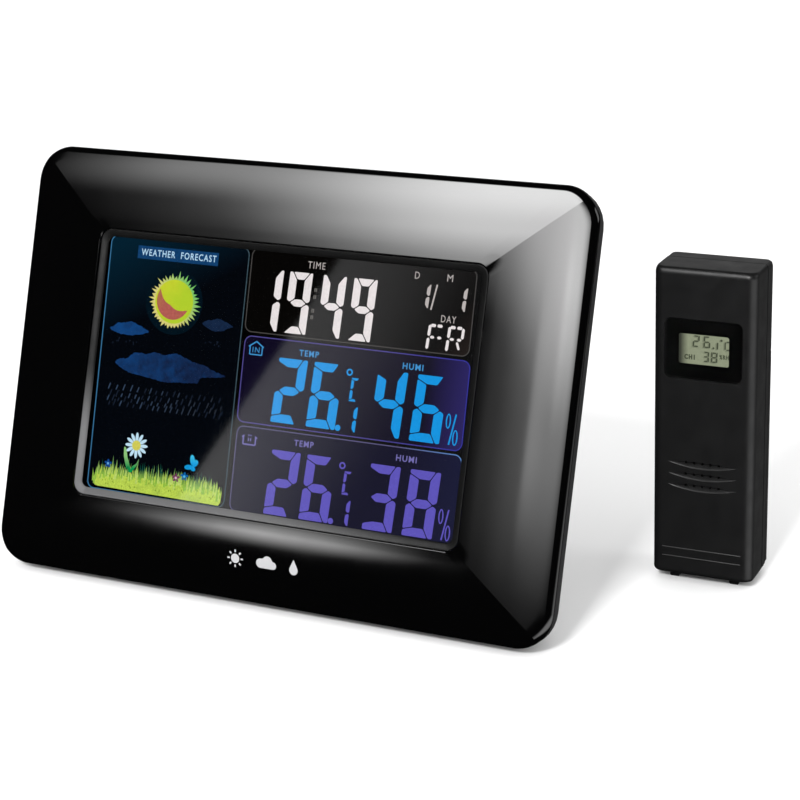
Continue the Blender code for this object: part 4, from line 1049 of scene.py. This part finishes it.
def sensor_display():
    glass = Look("sensor_pane", (0.94, 0.95, 0.95), 0.02, place=SENSOR, IOR=1.12, Transmission_Weight=1.0)
    printed = Look("sensor_mask_print", (0.0009,) * 3, 0.5, place=SENSOR, Specular_IOR_Level=0.1)
    loops = []
    for inset, y in ((0.12, 0.05), (0.0, 0.15), (0.0, 0.75)):
        loops.append([(x, y, z) for x, z in round_panel(MASK_X, MASK_Z, inset, 1.9 - inset, 16)])
    pane = Shape(SENSOR).skin(loops)
    pane.piece("sensor_pane", glass.material, "sensor", "smoked_clear", ("sensor_window",), smooth=20)
    mask = Shape(SENSOR).card(round_panel(MASK_X, MASK_Z, 0.3, 1.6, 16), 0.85, 1.15)
    mask.cut(Shape(SENSOR).card(round_panel(PANE_X, PANE_Z, 0.0, 0.75, 12), -1.0, 3.0))
    mask.piece("sensor_mask_sheet", printed.material, "sensor", "gloss_black", ("sensor_mask",), smooth=20)

    left, right, low, high = PANE_X[0] - 0.6, PANE_X[1] + 0.6, PANE_Z[0] - 0.6, PANE_Z[1] + 0.6
    face = [(left, low), (right, low), (right, high), (left, high)]
    # The sensor's screen has no backlight: its ground, ink and digit shadows glow as painted light, and the
    # ground darkens towards its left edge as a painted shadow of the mask.
    ground = lit("sensor_lcd_painted_lit_ground", (146, 152, 127), 0.05, 1.0, (60, 62, 54), (-1, 0, 0), (5.4, 7.9),
                 place=SENSOR)
    draw([face], 0, ground, "sensor_lcd_face", SENSOR_SCREEN)
    ink = lit("sensor_lcd_ink", (70, 75, 60), 0.1, 0.5, place=SENSOR)
    shadow = lit("sensor_lcd_shadow", (128, 134, 111), 0.1, 0.5, place=SENSOR)
    figures = []
    for character, x, z, width, height in (("2", -4.0, 79.5, 2.3, 3.9), ("6", -0.55, 79.5, 2.3, 3.9),
                                           ("3", -0.7, 74.9, 2.1, 3.5), ("8", 1.9, 74.9, 2.2, 3.5)):
        figures += digit(character, x, z, width, height, 0.62, 0.56, (0.3,) * 4, 0.05, 0.03, 0.1)
    figures += [stroke((4.0, 79.4), (4.05, 81.6), 0.52), ellipse(2.75, 79.7, 0.34, 0.34, 12),
                ellipse(5.3, 82.4, 0.38, 0.38, 14), stroke((6.5, 79.6), (6.5, 82.0), 0.42)]
    figures += [stroke((6.9, z), (8.2, z), 0.42) for z in (82.1, 79.5)]
    # painted shadows of the digits: lighter glowing copies, set down and to the left
    cast = [[(x - 0.42, z - 0.3) for x, z in outline] for outline in figures]
    draw(cast, 1, shadow, "sensor_lcd_digit_shadows", SENSOR_SCREEN)
    draw(figures, 2, ink, "sensor_lcd_digits", SENSOR_SCREEN)
    lettering("CH1", -6.6, 75.3, 1.7, 3.4, ink, "sensor_lcd_channel", 0.06, SENSOR_SCREEN)
    lettering("%RH", 4.7, 76.3, 1.5, 3.0, ink, "sensor_lcd_unit", 0.04, SENSOR_SCREEN)


# ---------------- everything else, from the CAD

def paint_cad_nodes(palette):
    for name, node in frame["nodes"].items():
        slot = next(s["material_slot"] for s in frame["record"]["subparts"] if s["node"] == name)
        material = palette.get(name) or palette.get(slot)
        node.data.materials.clear()
        node.data.materials.append(material)
        node.data.shade_smooth()
        node.data.set_sharp_from_angle(angle=radians(32))


# ---------------- stage

CAMERA_FROM_EDGE = Vector((0.325, -0.5461, 0.2857))   # from the middle of the console's lower front edge
CAMERA_YAW, CAMERA_PITCH, CAMERA_ROLL = (radians(angle) for angle in (26.47, 19.07, -2.0))
CAMERA_LENS = 98.06


def camera():
    forward = Vector((-sin(CAMERA_YAW) * cos(CAMERA_PITCH),
                      cos(CAMERA_YAW) * cos(CAMERA_PITCH), -sin(CAMERA_PITCH)))
    level = Vector((cos(CAMERA_YAW), sin(CAMERA_YAW), 0))
    upright = level.cross(forward)
    right = level * cos(CAMERA_ROLL) + upright * sin(CAMERA_ROLL)
    up = upright * cos(CAMERA_ROLL) - level * sin(CAMERA_ROLL)
    made = put("camera", bpy.data.cameras.new("camera"))
    made.data.lens = CAMERA_LENS
    made.data.clip_start = 0.01
    turn = Matrix((right, up, -forward)).transposed()
    made.matrix_world = Matrix.Translation(CONSOLE.translation + CAMERA_FROM_EDGE) @ turn.to_4x4()
    bpy.context.scene.camera = made


def softbox(name, azimuth, elevation, distance, side, power):
    """A square studio light, aimed at the display. Azimuth 0 is in front, positive to the right."""
    a, e = radians(azimuth), radians(elevation)
    aim = CONSOLE @ Vector((30, 0, 60))
    away = Vector((sin(a) * cos(e), -cos(a) * cos(e), sin(e)))
    data = bpy.data.lights.new(name, "AREA")
    data.shape = "RECTANGLE"
    data.size = data.size_y = side
    data.energy = power
    made = put(name, data)
    made.location = aim + away * distance
    made.rotation_euler = away.to_track_quat("Z", "Y").to_euler()
    made.visible_camera = False


def floor():
    look = Look("pale_floor", (0.87, 0.87, 0.87), 0.9)
    mesh = bpy.data.meshes.new("floor")
    half = 6.0
    corners = ((-half, -half, 0), (half, -half, 0), (half, half, 0), (-half, half, 0))
    mesh.from_pydata(corners, [], [(0, 1, 2, 3)])
    mesh.materials.append(look.material)
    made = put("floor", mesh)
    made.visible_glossy = False
    made.visible_transmission = False


def studio():
    """White light from all round, and the soft boxes that only the gloss shows.

    Directions are in degrees: azimuth 0 is in front of the station and positive to its right.
    """
    made = bpy.data.worlds.new("studio")
    bpy.context.scene.world = made
    made.use_nodes = True
    nodes = Nodes(made.node_tree)
    maths, ramp, fall, band = nodes.maths, nodes.ramp, nodes.fall, nodes.band
    product, total, between = nodes.product, nodes.total, nodes.between
    way = nodes.add("ShaderNodeTexCoord").outputs["Generated"]
    split = nodes.add("ShaderNodeSeparateXYZ", {0: way}).outputs
    azimuth = maths("DEGREES", maths("ARCTAN2", split["X"], maths("MULTIPLY", split["Y"], -1.0)))
    elevation = maths("DEGREES", maths("ARCSINE", split["Z"]))

    along = total(azimuth, product(elevation, 0.7))
    across = total(elevation, product(azimuth, -0.468))
    overhead = total(product(ramp(along, -13.5, -2.5), 11.0), product(ramp(along, -19, -11), 0.9))
    overhead = total(product(overhead, between(across, 50, 57.5, 0.5, 1.0)),
                     product(ramp(across, 59, 68.5), ramp(along, -21.5, -15), 3.7))
    overhead = product(overhead, *band(elevation, (24, 32), (53, 60)), fall(azimuth, -28, -14))

    high = total(elevation, product(azimuth, 0.18))
    right = total(product(ramp(azimuth, -9.6, -6.5), 0.55), product(ramp(azimuth, -6, 0), 0.8),
                  product(ramp(azimuth, 0, 6), 1.3))
    lobe = product(ramp(high, 18.8, 23.6), ramp(azimuth, -13.5, -8), between(azimuth, -7, 7, 5.9, 8.3))
    right = total(product(right, ramp(elevation, 12.5, 17)), lobe)
    wide_streak = product(ramp(azimuth, 0.9, 1.5), ramp(azimuth, 1.5, 5.5, 1.0, 0.3),
                          *band(elevation, (14.5, 17.5), (19.5, 22.5)), 2.8)
    thin_streak = product(ramp(azimuth, 5.1, 5.5), ramp(azimuth, 5.5, 7.0, 1.0, 0.2),
                          *band(elevation, (17.3, 20.5), (22, 24)), 3.5)
    right = product(total(right, wide_streak, thin_streak), fall(azimuth, 8, 14), fall(elevation, 26, 36))

    aside = maths("POWER", product(total(azimuth, 27.7), 1 / 4.7), 2.0)
    below = maths("POWER", product(maths("MINIMUM", total(elevation, 3.6), 0.0), 1 / 4.4), 2.0)
    under = product(fall(maths("SQRT", total(aside, below)), 0.0, 1.0),
                    ramp(elevation, -4.6, -1.9, 1.0, 0.12), fall(elevation, 2, 5), 9.0)
    edge = total(azimuth, maths("MULTIPLY", elevation, -0.33), 35.2)
    veil = product(ramp(edge, -0.12, 0.12), ramp(edge, 0.0, 4.5, 1.0, 0.1),
                   between(elevation, 11, 20, 1.15, 0.5), fall(azimuth, -22, -18),
                   *band(elevation, (6, 9), (22, 26)))
    table = product(ramp(azimuth, 14, 45), ramp(azimuth, 80, 125, 1.0, 0.05),
                    *band(elevation, (-42, -27), (-12, 0)), 2.6)
    behind = product(ramp(split["Y"], 0.7, 0.85), *band(elevation, (4, 12), (30, 44)), 0.5)
    dimmest, all_round = 0.005, 1.14
    shown = total(overhead, right, under, veil, table, behind, dimmest)

    path = nodes.add("ShaderNodeLightPath").outputs
    mirrored = maths("MAXIMUM", path["Is Glossy Ray"], path["Is Transmission Ray"])
    strength = total(product(mirrored, shown), product(maths("SUBTRACT", 1.0, mirrored), all_round))
    background = made.node_tree.nodes["Background"]
    background.inputs["Color"].default_value = (1, 1, 1, 1)
    nodes.tree.links.new(strength, background.inputs["Strength"])
    bpy.context.scene.view_settings.view_transform = "Standard"


# ---------------- build

camera()
studio()
floor()
softbox("front_key", 4, 38, 1.7, 0.3, 26)
softbox("right_fill", 105, 25, 1.5, 0.6, 2.5)

black = gloss_black()
case = textured_black("console_case_black", CONSOLE)
palette = {
    "gloss_black": black,
    "matt_black": case,
    "ledge_grey": ledge_grey(),
    "smoked_clear": Look("clear_pane", (0.9, 0.9, 0.92), 0.03, IOR=1.45, Transmission_Weight=1.0).material,
    "lcd_glass": Look("display_glass", (0.001, 0.001, 0.0012), 0.3, Specular_IOR_Level=0.05).material,
    "printed_film": plain("colour_print", (0.12, 0.14, 0.5), 0.4),
    "light_white": plain("milky_white", (0.8, 0.81, 0.83), 0.35),
    "natural_plastic": plain("natural_abs", (0.6, 0.6, 0.57), 0.45),
    "board_green": plain("solder_mask_green", (0.012, 0.12, 0.05), 0.35),
    "epoxy_black": plain("moulded_black", (0.015, 0.015, 0.016), 0.35),
    "spring_steel": plain("plated_steel", (0.62, 0.62, 0.64), 0.28, 1.0),
    "copper": plain("copper_wire", (0.72, 0.34, 0.16), 0.3, 1.0),
    "rubber": plain("black_rubber", (0.02, 0.02, 0.02), 0.75, grain=0.3),
    "cell_jacket": plain("cell_jacket_blue", (0.03, 0.05, 0.12), 0.3, 0.4),
    "sensor_lcd": plain("reflective_lcd", (0.45, 0.47, 0.37), 0.35),
}
sensor_black = textured_black("sensor_case_black", SENSOR, 0.0042, 0.3, (0.36, 0.46), 0.33)
for node_name in ("sensor_front_case", "sensor_rear_case", "sensor_battery_door"):
    palette[node_name] = sensor_black
paint_cad_nodes(palette)
bezel(black)
front_mark()
ledge(palette["ledge_grey"])
lens()
display()
sensor_front(sensor_black)
sensor_display()
